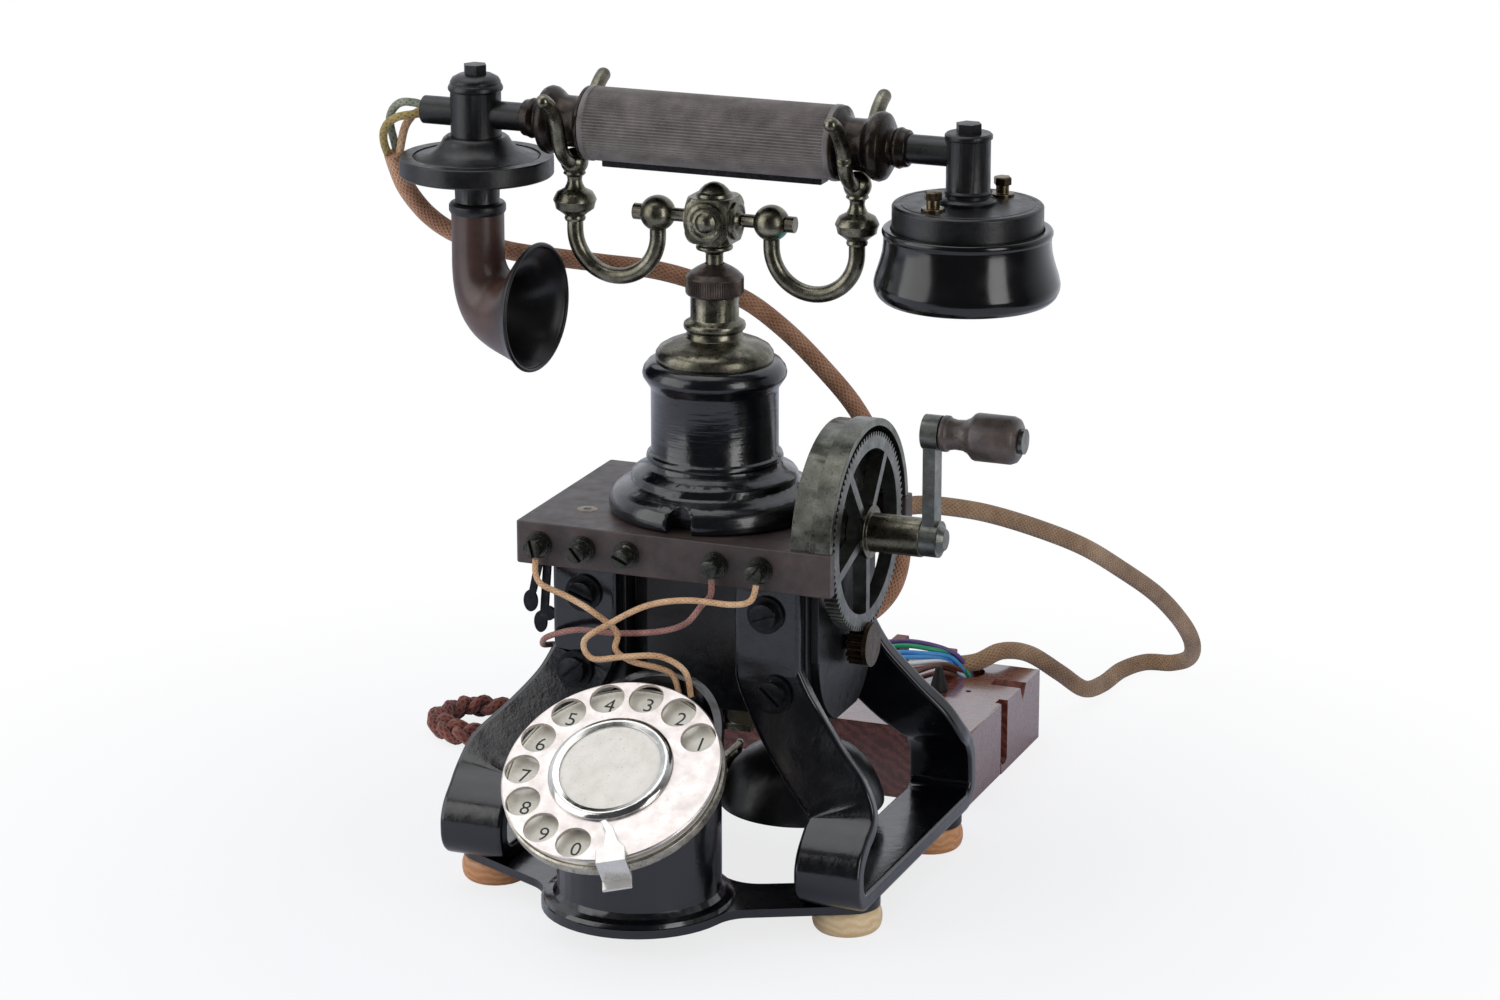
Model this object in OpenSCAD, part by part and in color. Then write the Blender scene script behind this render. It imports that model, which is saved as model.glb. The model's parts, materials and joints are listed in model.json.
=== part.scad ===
// Skeleton table telephone: two magnet legs carry a magneto, a board, a pedestal with a cradle,
// and a tube handset; a dial stands on a casting between the front feet.
// Axes: +X to the crank side, -Y to the user, +Z up. Millimetres.

/* [Feet and magnet legs] */
// Diameter of a wooden foot
foot_d = 24; // [20:1:28]
// Height of a wooden foot
foot_h = 9; // [7:0.5:12]
// Half distance between the left and right feet
foot_x = 65.5; // [60:0.5:72]
// Distance of the front feet in front of the column axis
foot_front_y = 43; // [39:1:46]
// Distance of the rear feet behind the column axis
foot_rear_y = 41; // [37:1:44]
// Thickness of the spacer discs and of the stand's flat arms
spacer_t = 3; // [2:0.5:5]
// Width of a magnet band
band_w = 23.5; // [20:0.5:25]
// Thickness of a magnet band
band_t = 6; // [5:0.5:7]
// Half distance between the tops of the two magnets
band_top_x = 33.5; // [31:0.5:35]
// Reach of the front toes in front of the column axis, to the middle of the band
toe_front_y = 61; // [57:1:64]
// Reach of the rear toes behind the column axis, to the middle of the band
toe_rear_y = 55; // [52:1:60]
// Bend radius of a toe under the leg, to the middle of the band
toe_r = 7; // [5:0.5:8]
// Diameter of a magnet screw's washer
magnet_washer_d = 13; // [10:0.5:14]
// Diameter of a magnet screw's head
magnet_head_d = 9.4; // [7:0.2:10]

/* [Magneto] */
// Height of the armature axis
armature_z = 87; // [85:0.5:89]
// Diameter of the armature core
armature_d = 28.4; // [26:0.2:29]
// Air gap between the core and the pole bores
air_gap = 0.8; // [0.5:0.1:1.2]
// Diameter of the armature shaft
armature_shaft_d = 5; // [4:0.5:6]
// Height of the underside of the pole pieces
pole_bottom_z = 68; // [66:0.5:69]
// Half gap between the front and rear pole pieces
pole_gap = 4; // [3:0.5:6]
// Half depth of the pole pieces, to the face that the magnets lie on
pole_half_y = 31; // [30:0.5:32]
// Thickness of an end cheek
cheek_t = 3; // [2:0.5:3.5]
// Width of an end cheek
cheek_w = 56; // [52:1:58]
// Gap between the end cheek and the crank gear
cheek_gap = 2.5; // [2:0.5:3]
// Height of the upper magnet screws
upper_screw_z = 106; // [104:0.5:108]

/* [Gearing and crank] */
// Teeth on the crank gear
gear_teeth = 90; // [84:1:92]
// Teeth on the armature pinion
pinion_teeth = 18; // [17:1:19]
// Gear module
gear_module = 0.75; // [0.72:0.01:0.76]
// Face width of the crank gear
gear_w = 5; // [4:0.5:5.5]
// Spokes in the crank gear
gear_spokes = 5; // [4:1:6]
// Diameter of the crank shaft
crank_shaft_d = 8; // [6:0.5:9]
// Diameter of the crank hub
crank_hub_d = 13.5; // [11:0.5:15]
// Length of the crank hub
crank_hub_l = 18.5; // [16:0.5:24]
// Throw of the crank, from shaft to handle
crank_throw = 37.5; // [34:0.5:42]
// Length of the crank handle
handle_l = 29; // [24:0.5:34]
// Diameter of the crank handle's barrel
handle_d = 16.4; // [13:0.2:18]
// Diameter of the pin that the handle turns on
handle_pin_d = 5; // [4:0.5:6]
// Wall of the gear guard
guard_t = 1.6; // [1.2:0.1:2]
// Running clearance of shafts and pins, on the radius
run_clear = 0.05; // [0.02:0.01:0.08]

/* [Board] */
// Width of the board
board_w = 115; // [112:1:118]
// Front edge of the board, in front of the column axis
board_front_y = 40; // [39.5:0.5:42]
// Rear edge of the board, behind the column axis
board_rear_y = 42; // [40:0.5:45]
// Height of the board's underside
board_z = 115; // [114:0.5:116]
// Thickness of the board
board_t = 15; // [13:0.5:17]
// Distance between neighbouring terminal screws
terminal_pitch = 16.2; // [14:0.1:17]
// Diameter of a terminal screw
terminal_d = 6.2; // [5:0.2:7]

/* [Column] */
// Diameter of the column's foot flange
column_foot_d = 73.4; // [68:0.2:78]
// Diameter of the column's shaft
column_d = 44; // [38:0.5:46]
// Height of the column above the board
column_h = 53; // [48:1:58]
// Bore of the hollow column
column_bore_d = 36; // [30:0.5:37]
// Height of the metal cap above the column
cap_h = 22.5; // [20:0.5:26]
// Diameter of the cap's neck
cap_neck_d = 16.6; // [14:0.2:18]
// Diameter of the knurled nut
nut_d = 20; // [17:0.5:22]
// Height of the knurled nut with its dome
nut_h = 11; // [9:0.5:12]
// Diameter of the cradle's plunger stem
stem_d = 6; // [5:0.2:7]

/* [Cradle] */
// Free length of stem between the nut and the collar
stem_gap = 4.5; // [4:0.5:7]
// Travel of the cradle when the handset is lifted
cradle_travel = 6; // [4:0.5:7]
// Edge of the cradle's cube
cube_w = 15.6; // [14:0.2:18]
// Diameter of the ball joints
ball_d = 12.4; // [11:0.2:14]
// Distance of a ball from the column axis
ball_x = 20.8; // [19.5:0.2:23]
// Diameter of the arm rods
arm_d = 5.6; // [4.6:0.2:6.4]
// Diameter of the turned knobs under the forks
knob_d = 15; // [12:0.2:18]
// Diameter of a fork prong
prong_d = 5; // [4:0.2:5.6]
// Clearance between the forks and the handset
cradle_clear = 0.3; // [0.2:0.05:0.6]

/* [Handset] */
// Length of the fluted grip
grip_l = 91; // [88:1:93]
// Diameter of the fluted grip
grip_d = 25.8; // [24:0.2:27]
// Flutes round the grip
flutes = 72; // [48:2:90]
// Diameter of the tube that carries both ends
rod_d = 9.8; // [8:0.2:11]
// Diameter of the turned necks that lie in the forks
neck_d = 17.6; // [15:0.2:18.4]
// Distance of the mouthpiece axis from the middle
mouth_x = 88.5; // [84:0.5:92]
// Distance of the earpiece axis from the middle
ear_x = 90.6; // [86:0.5:94]
// Diameter of the transmitter disc
transmitter_d = 53.4; // [48:0.2:58]
// Height of the transmitter's rim
transmitter_h = 6.8; // [6:0.2:9]
// Outer diameter of the horn's tube
horn_d = 18.4; // [16:0.2:20]
// Outer diameter of the horn's mouth
horn_mouth_d = 45.4; // [40:0.2:50]
// Wall of the horn
horn_wall = 1.6; // [1.2:0.1:2.2]
// Turn of the horn towards the user, in degrees
horn_turn = 5.4; // [0:0.2:12]
// Diameter of the receiver case
receiver_d = 50.6; // [46:0.2:54]
// Greatest diameter of the ear cap
ear_cap_d = 62.4; // [58:0.2:66]
// Height of the ear cap
ear_cap_h = 25; // [23:0.5:28]
// Travel of the talk bar
talk_travel = 1.5; // [1:0.1:1.8]

/* [Dial] */
// Diameter of the finger wheel
dial_d = 75.4; // [70:0.2:78]
// Thickness of the finger wheel
wheel_t = 1.4; // [1:0.1:2]
// Diameter of a finger hole
finger_d = 12; // [11:0.1:12.6]
// Radius of the circle of finger holes
finger_r = 31; // [30:0.1:31.2]
// Angle between neighbouring finger holes
finger_pitch = 25.6; // [24:0.1:26]
// Tilt of the dial's face from level
dial_tilt = 33.3; // [28:0.1:38]
// Height of the middle of the finger wheel
dial_z = 63; // [60:0.5:66]
// Distance of the middle of the finger wheel in front of the column axis
dial_y = 88; // [86:0.5:90]
// Diameter of the bezel over the card
bezel_d = 43; // [40:0.5:46]
// Diameter of the card in the bezel
card_d = 35.6; // [33:0.2:37]
// Diameter of the stand's cup
cup_d = 56; // [53:0.5:58]
// Wall of the stand's cup
cup_wall = 2.5; // [2:0.1:3]
// Distance of the cup's axis in front of the column axis
cup_y = 69; // [68:0.5:70]
// Diameter of the stand's flange
stand_flange_d = 66.8; // [63:0.2:70]

/* [Bells] */
// Diameter of a gong
gong_d = 58; // [54:0.5:59]
// Height of a gong
gong_h = 22; // [19:0.5:23]
// Wall of a gong
gong_wall = 1.8; // [1.4:0.1:2.4]
// Half distance between the gongs' middles
gong_x = 30.5; // [30:0.1:32]
// Height of the gongs' rims
gong_rim_z = 25; // [23:0.5:26]
// Distance of the gongs' middles behind the column axis
gong_y = 5; // [3:0.5:7]
// Diameter of a ringer coil
coil_d = 15; // [12:0.5:16]
// Diameter of the clapper's ball
clapper_d = 10.4; // [8:0.2:10.8]

/* [Cords] */
// Diameter of the handset cord
handset_cord_d = 6.6; // [5:0.2:8]
// Diameter of the line cord
line_cord_d = 6.6; // [5:0.2:8]
// Width of the plaited cord
plait_d = 10; // [8:0.2:11]
// Diameter of a dial lead
lead_d = 2; // [1.6:0.1:2.4]

/* [Connection block] */
// Width of the connection block
block_w = 116; // [100:1:120]
// Depth of the connection block
block_l = 83; // [70:1:90]
// Height of the connection block
block_h = 28; // [24:1:32]
// Front face of the connection block, behind the column axis
block_y = 82; // [80:1:90]

/* [Hidden] */
$fn = 64;

// Heights up the stack, each from the piece below it
rail_z = foot_h + spacer_t;
board_top_z = board_z + board_t;
column_top_z = board_top_z + column_h;
cap_top_z = column_top_z + cap_h;
nut_top_z = cap_top_z + nut_h;
collar_z = nut_top_z + stem_gap;
cube_z = collar_z + 3.5;
ball_z = cube_z + cube_w / 2;
arm_bend_z = ball_z - 8;
arm_end_x = grip_l / 2 + 6.1;
arm_bend_r = (arm_end_x - ball_x) / 2;
fork_z = arm_bend_z + 3;
fork_ball_d = 9.6;
fork_ball_z = fork_z + 20.5;
handset_z = fork_ball_z + fork_ball_d / 2 + neck_d / 2 + cradle_clear;

// Planes and radii that several pieces share
gear_r = gear_module * gear_teeth / 2;
pinion_r = gear_module * pinion_teeth / 2;
crank_z = armature_z + gear_r + pinion_r;
gear_x = board_w / 2 - 1 - gear_w;
pole_half_x = gear_x - cheek_gap - cheek_t;
gear_clear = 1.5;
guard_r = gear_r + 2.6;
guard_x = gear_x - 9;
notch_x = guard_x + 2.2;
cheek_x = pole_half_x;
hub_x = gear_x + gear_w;
arm_x = hub_x + crank_hub_l + 1.5;
arm_boss_w = 6;
handle_z = crank_z + crank_throw;
mic_disc_top_z = handset_z - 14.6;
gong_top_z = gong_rim_z + gong_h;
bridge_t = 4;
bridge_z = pole_bottom_z - bridge_t;
mouth_neck_z = mic_disc_top_z - transmitter_h - 11.4;
receiver_top_z = handset_z - 16.6;
receiver_h = 22.6;
ear_lip_z = receiver_top_z - 8.4;
dial_x = -2;

// The whole part stands with its box centred on the origin, measured without the cords
frame_x = (ear_x + ear_cap_d / 2 - mouth_x - transmitter_d / 2) / 2;
stop_turn = 70;
stop_out = 2.6;
stop_w = 10;
stop_top = 2.2;
stop_reach = (dial_d / 2 + stop_out) * sin(stop_turn) + stop_w / 2 * cos(stop_turn);
front_reach = dial_y + stop_reach * cos(dial_tilt) + stop_top * sin(dial_tilt);
frame_y = (toe_rear_y + band_t / 2 - front_reach) / 2;

// Points of a smooth curve through the given ones, with a number of steps between neighbours
function between(a, b, c, d, t) =
  0.5 * ((2 * b) + (c - a) * t + (2 * a - 5 * b + 4 * c - d) * t * t
  + (3 * b - a - 3 * c + d) * t * t * t);
function smooth(p, steps) = [
  for (i = [0:len(p) - 2], j = [0:steps - 1])
    between(p[max(i - 1, 0)], p[i], p[i + 1], p[min(i + 2, len(p) - 1)], j / steps),
  p[len(p) - 1]];

function unit(v) = v / norm(v);
function way(p, i) = unit(p[min(i + 1, len(p) - 1)] - p[max(i - 1, 0)]);

// Frames carried along a path without twist
function carry(p, i, side) =
  let (t = way(p, i), s = unit(side - (side * t) * t))
  i >= len(p) - 1 ? [s] : concat([s], carry(p, i + 1, s));

// Closed skin over rings that have the same number of points each
module skin(rings) {
  n = len(rings[0]);
  m = len(rings);
  polyhedron(
    points = [for (r = rings, q = r) q],
    faces = concat(
      [[for (k = [n - 1:-1:0]) k]],
      [[for (k = [0:n - 1]) (m - 1) * n + k]],
      [for (i = [0:m - 2], k = [0:n - 1]) [i * n + k, i * n + (k + 1) % n, (i + 1) * n + k]],
      [for (i = [0:m - 2], k = [0:n - 1])
        [i * n + (k + 1) % n, (i + 1) * n + (k + 1) % n, (i + 1) * n + k]]));
}

// Round tube swept along a list of points, from one of them to another
module tube(p, d, from, to, sides = 8) {
  first = abs(way(p, 0)[2]) > 0.9 ? [1, 0, 0] : [0, 0, 1];
  sides_of = carry(p, 0, first);
  skin([for (i = [from:to])
    let (s = sides_of[i], u = cross(way(p, i), s))
    [for (k = [0:sides - 1])
      p[i] + d / 2 * (cos(360 * k / sides) * s + sin(360 * k / sides) * u)]]);
}

// Cylinder along X from one place to another
module rod_x(d, x0, x1) {
  translate([x0, 0, 0]) rotate([0, 90, 0]) cylinder(d = d, h = x1 - x0);
}

// Solid of revolution about X, from [place along X, radius] points
module turned_x(points) {
  rotate([0, 90, 0]) rotate([0, 0, 180])
    rotate_extrude() polygon([for (q = points) [q[1], q[0]]]);
}

// Moves a piece from the column axis to the part's own origin
module placed() {
  translate([-frame_x, -frame_y, 0]) children();
}

// Copies a piece to the left and right feet, at the given distance along Y
module at_feet(y) {
  for (side = [-1, 1]) translate([side * foot_x, y, 0]) children();
}

// Feet: turned wooden buttons with eased edges
module foot() {
  e = 1.2;
  rotate_extrude() polygon(concat(
    [[0, 0], [foot_d / 2 - 1.6 * e, 0]],
    [for (a = [-60:30:60]) [foot_d / 2 - e + e * cos(a), foot_h / 2 + (foot_h / 2 - e) * sin(a)]],
    [[foot_d / 2 - 1.2 * e, foot_h], [0, foot_h]]));
}
module foot_front_left() {
  color("peru") placed() translate([-foot_x, -foot_front_y, 0]) foot();
}
module foot_front_right() {
  color("burlywood") placed() translate([foot_x, -foot_front_y, 0]) foot();
}
module feet_rear() {
  color("peru") placed() at_feet(foot_rear_y) foot();
}
module foot_spacers() {
  color([0.08, 0.08, 0.09]) placed() at_feet(foot_rear_y)
    translate([0, 0, foot_h]) cylinder(d = foot_d - 1, h = spacer_t);
}

// Magnet: a flat bar that runs down the front, bends outwards and forwards to a toe,
// back along the floor as a rail, and up the rear the same way.
// Each leg point is [share of the way outwards, distance from the axis, height].
leg_front = [[0, 34, 84], [0.24, 36, 70], [0.61, 41, 56], [0.89, 44.5, 47], [1, 47.5, 40.5],
  [1, 53.5, 35.5], [1, 58.5, 31], [1, 60.8, 26.5]];
leg_rear = [[0, 34, 84], [0.24, 35.5, 70], [0.61, 38, 57], [0.89, 41, 48.5], [1, 44.5, 42.5],
  [1, 50, 38], [1, 53.6, 33], [1, 54.8, 27.5]];
leg_steps = 4;
function leg_line(leg, toe_y) =
  let (
    mid_z = rail_z + band_t / 2,
    mid_y = pole_half_y + band_t / 2,
    last = leg[len(leg) - 1],
    shift = [for (q = leg) [
      band_top_x + q[0] * (foot_x - band_top_x),
      mid_y + (q[1] - 34) * (toe_y - mid_y) / (last[1] + 0.2 - 34),
      q[2]]])
  concat(
    [[band_top_x, mid_y, board_z], [band_top_x, mid_y, 92]],
    smooth(concat(shift, [[foot_x, toe_y, mid_z + toe_r]]), leg_steps),
    [for (a = [15:15:90]) [foot_x, toe_y - toe_r * (1 - cos(a)), mid_z + toe_r * (1 - sin(a))]]);
function magnet_line() =
  let (
    front = [for (q = leg_line(leg_front, toe_front_y)) [q[0], -q[1], q[2]]],
    rear = leg_line(leg_rear, toe_rear_y))
  concat(front, [for (i = [len(rear) - 1:-1:0]) rear[i]]);
module magnet() {
  p = magnet_line();
  w = band_w / 2;
  t = band_t / 2;
  c = 1.4;
  edge = [[w, t - c], [w - c, t], [c - w, t], [-w, t - c], [-w, c - t], [c - w, -t], [w - c, -t],
    [w, c - t]];
  skin([for (i = [0:len(p) - 1])
    let (d = way(p, i), across = unit([1, 0, 0] - d[0] * d), out = cross(across, d))
    [for (q = edge) p[i] + q[0] * across - q[1] * out]]);
}
module magnet_right() {
  color([0.1, 0.11, 0.13]) placed() magnet();
}
module magnet_left() {
  color([0.1, 0.11, 0.13]) placed() mirror([1, 0, 0]) magnet();
}

// Slotted cheese-head screw with a washer, standing along +Z
module slotted_screw(washer_d, washer_t, head_d, head_h, slot_turn) {
  cylinder(d = washer_d, h = washer_t);
  translate([0, 0, washer_t]) difference() {
    cylinder(d = head_d, h = head_h);
    rotate([0, 0, slot_turn]) translate([-head_d, -0.6, head_h - 1.3]) cube([2 * head_d, 1.2, 2]);
  }
}
// The lower screws sit square on the band where it has begun to bend outwards
seat_ring = 4;
seat_gap = 0.35;
module magnet_screws() {
  p = magnet_line();
  color([0.14, 0.14, 0.15]) placed() for (side = [0, 1]) mirror([side, 0, 0]) {
    for (rear = [0, 1]) translate([band_top_x, 0, upper_screw_z]) rotate([90, 0, rear * 180])
      translate([0, 0, pole_half_y + band_t])
        slotted_screw(magnet_washer_d, 1.3, magnet_head_d, 3, 20 + 60 * rear);
    for (i = [seat_ring, len(p) - 1 - seat_ring]) {
      d = way(p, i);
      out = -cross(unit([1, 0, 0] - d[0] * d), d);
      translate(p[i] + (band_t / 2 + seat_gap) * out) rotate([0, acos(out[2]), atan2(out[1], out[0])])
        slotted_screw(magnet_washer_d, 1.3, magnet_head_d, 3, 50);
    }
  }
}

// Pole pieces: soft iron blocks bored for the armature
module pole() {
  bore_r = armature_d / 2 + air_gap;
  difference() {
    translate([-pole_half_x, -pole_half_y, pole_bottom_z])
      cube([2 * pole_half_x, pole_half_y - pole_gap, board_z - pole_bottom_z]);
    translate([0, 0, armature_z]) rod_x(2 * bore_r, -pole_half_x - 1, pole_half_x + 1);
    translate([-20.5, -pole_half_y - 1, pole_bottom_z + 4]) cube([7.5, 9, 40]);
  }
}
module pole_front() {
  color([0.12, 0.12, 0.14]) placed() pole();
}
module pole_rear() {
  color([0.12, 0.12, 0.14]) placed() rotate([0, 0, 180]) pole();
}

// End cheeks: plates across the pole pieces that carry the armature shaft
module cheek() {
  arc_r = 25;
  rotate([90, 0, 90]) linear_extrude(cheek_t) difference() {
    union() {
      translate([-cheek_w / 2, armature_z]) square([cheek_w, board_z - armature_z]);
      intersection() {
        translate([-cheek_w / 2, armature_z - arc_r]) square([cheek_w, arc_r]);
        translate([0, armature_z]) circle(r = arc_r + 2);
      }
    }
    translate([0, armature_z]) circle(d = armature_shaft_d + 2 * run_clear);
  }
}
module cheeks() {
  color([0.62, 0.62, 0.58]) placed() for (x = [cheek_x, -cheek_x - cheek_t])
    translate([x, 0, 0]) cheek();
}

// Armature: an H-section core on its shaft, with the winding in the two slots
web_t = 9;
module armature_axis() {
  translate([0, 0, armature_z]) children();
}
module armature() {
  core_l = 2 * pole_half_x - 8;
  color([0.35, 0.35, 0.36]) placed() armature_axis() {
    difference() {
      rod_x(armature_d, -core_l / 2, core_l / 2);
      for (side = [-1, 1])
        translate([-core_l / 2 - 1, side * (web_t / 2 + armature_d / 2) - armature_d / 2, -8])
          cube([core_l + 2, armature_d, 16]);
    }
    rod_x(armature_shaft_d, -cheek_x - cheek_t - 3, -core_l / 2);
    rod_x(armature_shaft_d, core_l / 2, gear_x + gear_w + 1);
  }
}
module armature_winding() {
  core_l = 2 * pole_half_x - 8;
  color([0.25, 0.35, 0.2]) placed() armature_axis()
    intersection() {
      rod_x(armature_d - 2.4, -core_l / 2, core_l / 2);
      for (side = [-1, 1])
        translate([-core_l / 2 + 1, side > 0 ? web_t / 2 : -armature_d - web_t / 2, -8])
          cube([core_l - 2, armature_d, 16]);
    }
}

// Involute gear outline: half of a tooth space of backlash is taken off each flank
function involute(base_r, a) = [
  base_r * (cos(a) + a * PI / 180 * sin(a)), base_r * (sin(a) - a * PI / 180 * cos(a))];
function turned(q, a) = [q[0] * cos(a) - q[1] * sin(a), q[0] * sin(a) + q[1] * cos(a)];
function roll_at(base_r, r) = sqrt(max(r * r / (base_r * base_r) - 1, 0)) * 180 / PI;
function gear_outline(teeth, m, backlash) =
  let (
    r = m * teeth / 2,
    base_r = r * cos(20),
    root_r = r - 1.2 * m,
    tip_r = r + 0.92 * m,
    start_r = max(base_r, root_r + 0.02),
    pitch_q = involute(base_r, roll_at(base_r, r)),
    half = 90 / teeth - backlash / (2 * r) * 180 / PI + atan2(pitch_q[1], pitch_q[0]),
    flank = [for (k = [0:2])
      turned(involute(base_r, roll_at(base_r, start_r + (tip_r - start_r) * k / 2)), -half)])
  [for (i = [0:teeth - 1], side = [0, 1], k = [0:3])
    let (
      j = side == 0 ? k : 3 - k,
      root = [root_r * cos(half - 0.2), -root_r * sin(half - 0.2)],
      q = j == 0 ? root : flank[j - 1])
    turned(side == 0 ? q : [q[0], -q[1]], 360 * i / teeth)];
gear_backlash = 0.16;
module toothed(teeth, w) {
  rotate([90, 0, 90]) linear_extrude(w) polygon(gear_outline(teeth, gear_module, gear_backlash));
}
module pinion() {
  color([0.3, 0.22, 0.18]) placed() armature_axis() difference() {
    union() {
      translate([gear_x - 0.5, 0, 0]) rotate([180 / pinion_teeth + 90, 0, 0])
        toothed(pinion_teeth, gear_w + 1);
      rod_x(2 * pinion_r + 1.8, gear_x + gear_w + 0.3, gear_x + gear_w + 2);
    }
    rod_x(armature_shaft_d, 0, gear_x + gear_w + 1);
  }
}

// Crank: gear, shaft with hub, arm and handle
module crank_axis() {
  translate([0, 0, crank_z]) children();
}
module crank_gear() {
  rim_in = gear_r - 5.2;
  color([0.6, 0.62, 0.6]) placed() crank_axis() translate([gear_x, 0, 0])
    rotate([-90, 0, 0]) difference() {
      toothed(gear_teeth, gear_w);
      rotate([90, 0, 90]) translate([0, 0, -1]) linear_extrude(gear_w + 2) {
        difference() {
          circle(r = rim_in);
          circle(r = 8.6);
          for (i = [0:gear_spokes - 1]) rotate(360 * i / gear_spokes)
            translate([0, -1.7]) square([rim_in + 1, 3.4]);
        }
        circle(d = crank_shaft_d);
      }
    }
}
module crank_hub() {
  color([0.3, 0.31, 0.27]) placed() crank_axis() {
    rod_x(crank_shaft_d, notch_x + 0.4, hub_x);
    rod_x(18.6, hub_x, hub_x + 1.5);
    rod_x(crank_hub_d, hub_x + 1.5, arm_x);
  }
}
module crank_arm() {
  color([0.42, 0.43, 0.36]) placed() translate([arm_x, 0, 0]) {
    crank_axis() rod_x(12.6, 0, arm_boss_w);
    translate([0, 0, handle_z]) rod_x(12, 0, arm_boss_w);
    translate([0.5, -3.6, crank_z]) cube([4.4, 7.2, crank_throw]);
    crank_axis() translate([arm_boss_w, 0, 0]) rotate([0, 90, 0]) cylinder(d1 = 10, d2 = 7, h = 2);
    translate([arm_boss_w, 0, handle_z]) {
      rod_x(handle_pin_d, 0, handle_l - 1);
      rod_x(8.6, handle_l - 1, handle_l + 0.6);
    }
  }
}
module crank_handle() {
  x0 = arm_x + arm_boss_w + 0.3;
  e = handle_l - 1.6;
  r = handle_d / 2;
  color([0.3, 0.27, 0.24]) placed() translate([x0, 0, handle_z]) difference() {
    turned_x([[0, 0], [0, 5.6], [0.6, 6.2], [2.2, 6.2], [2.8, 5.5], [5, 5.1], [8, 5.3], [10, 6.3],
      [11.6, r - 0.3], [12.4, r], [e - 2.6, r], [e - 0.8, r - 0.7], [e, r - 2], [e, 0]]);
    rod_x(handle_pin_d + 2 * run_clear, -1, handle_l + 2);
  }
}

// Gear guard: half a drum over the gear, with a stepped rim and a bearing wall in the notch
module gear_guard() {
  drum_w = hub_x + 0.5 - guard_x;
  rim_w = 7.4;
  boss_l = gear_x - 1 - notch_x;
  color([0.38, 0.4, 0.34]) placed() difference() {
    union() {
      crank_axis() difference() {
        turned_x([[guard_x, 0], [guard_x, guard_r + guard_t], [hub_x + 0.5 - rim_w, guard_r + guard_t],
          [hub_x + 0.5 - rim_w, guard_r + guard_t + 1], [hub_x + 0.5, guard_r + guard_t + 1],
          [hub_x + 0.5, 0]]);
        rod_x(2 * guard_r, notch_x + 2, hub_x + 2);
        translate([guard_x - 1, -60, board_top_z - crank_z - 80]) cube([drum_w + 2, 120, 80]);
      }
      translate([notch_x, -16, board_z]) cube([2, 32, board_t + 1]);
      crank_axis() rod_x(crank_shaft_d + 6, notch_x, notch_x + boss_l);
    }
    crank_axis() rod_x(crank_shaft_d + 2 * run_clear, notch_x - 3, hub_x);
  }
}

// Board: a slab with a notch for the gear in its right end
module board() {
  w = board_w / 2;
  notch_y = gear_r + gear_clear;
  color([0.27, 0.24, 0.24]) placed() translate([0, 0, board_z]) linear_extrude(board_t)
    polygon([[0.8 - w, -board_front_y], [w, -board_front_y], [w, -notch_y], [notch_x, -notch_y],
      [notch_x, notch_y], [w, notch_y], [w, board_rear_y], [0.8 - w, board_rear_y],
      [-w, board_rear_y - 0.8], [-w, 0.8 - board_front_y]]);
}
module terminals() {
  z = board_z + board_t / 2;
  color([0.2, 0.2, 0.21]) placed() for (rear = [0, 1], i = rear ? [-3, 1, 2] : [-3, -2, -1, 1, 2])
    translate([i * terminal_pitch, rear ? board_rear_y : -board_front_y, z])
      rotate([90, 0, rear * 180]) {
        cylinder(d = terminal_d + 3, h = 1.2);
        translate([0, 0, 1.2]) slotted_screw(terminal_d + 2, 1.2, terminal_d, 4.6, 25 * i);
      }
}

// Glands that the cords come out of, and the grommet of the dial leads
gland_t = 2.4;
module gland(d, x, y, z) {
  translate([x, y + gland_t, z]) rotate([90, 0, 0]) cylinder(d = d, h = gland_t);
}
module cord_glands() {
  color([0.2, 0.18, 0.17]) placed() {
    gland(line_cord_d + 2.4, line_route[0][0], board_rear_y, line_route[0][2]);
    gland(plait_d + 2, plait_route[0][0], board_rear_y, plait_route[0][2]);
    gland(handset_cord_d + 2.4, gland_at[0], pole_half_y, gland_at[1]);
  }
}

// Column: a hollow turned pedestal with an arched recess in its flange
arch_w = 9;
module column() {
  f = column_foot_d / 2;
  s = column_d / 2;
  b = column_bore_d / 2;
  color([0.07, 0.08, 0.1]) placed() difference() {
    translate([0, 0, board_top_z]) rotate_extrude() polygon([
      [b, 0], [f - 1.2, 0], [f - 0.2, 1.2], [f, 3.2], [f - 0.5, 5.4], [f - 1.9, 7.6], [f - 4.2, 9],
      [f - 6.6, 9.9], [f - 7.8, 10.8], [f - 7.9, 13], [f - 8.6, 13.9], [s + 4, 15], [s + 2.2, 16.4],
      [s + 1.4, 18], [s + 1.7, 18.9], [s + 1.4, 20], [s + 0.5, 20.6], [s, 21.8],
      [s, column_h - 10], [s + 0.4, column_h - 9], [s + 1.4, column_h - 7.6],
      [s + 2.7, column_h - 5.6], [s + 2.9, column_h - 4.4], [s + 2.4, column_h - 2.6],
      [s + 1, column_h - 0.8], [s - 0.6, column_h], [7, column_h], [7, column_h - 4],
      [b, column_h - 8]]);
    translate([0, 0, board_top_z]) rotate([0, 0, -88]) translate([f - 8, 0, 0]) {
      translate([0, -arch_w / 2, -1]) cube([10, arch_w, arch_w / 2 + 1]);
      translate([0, 0, arch_w / 2]) rotate([0, 90, 0]) cylinder(d = arch_w, h = 10);
    }
  }
}
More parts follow.
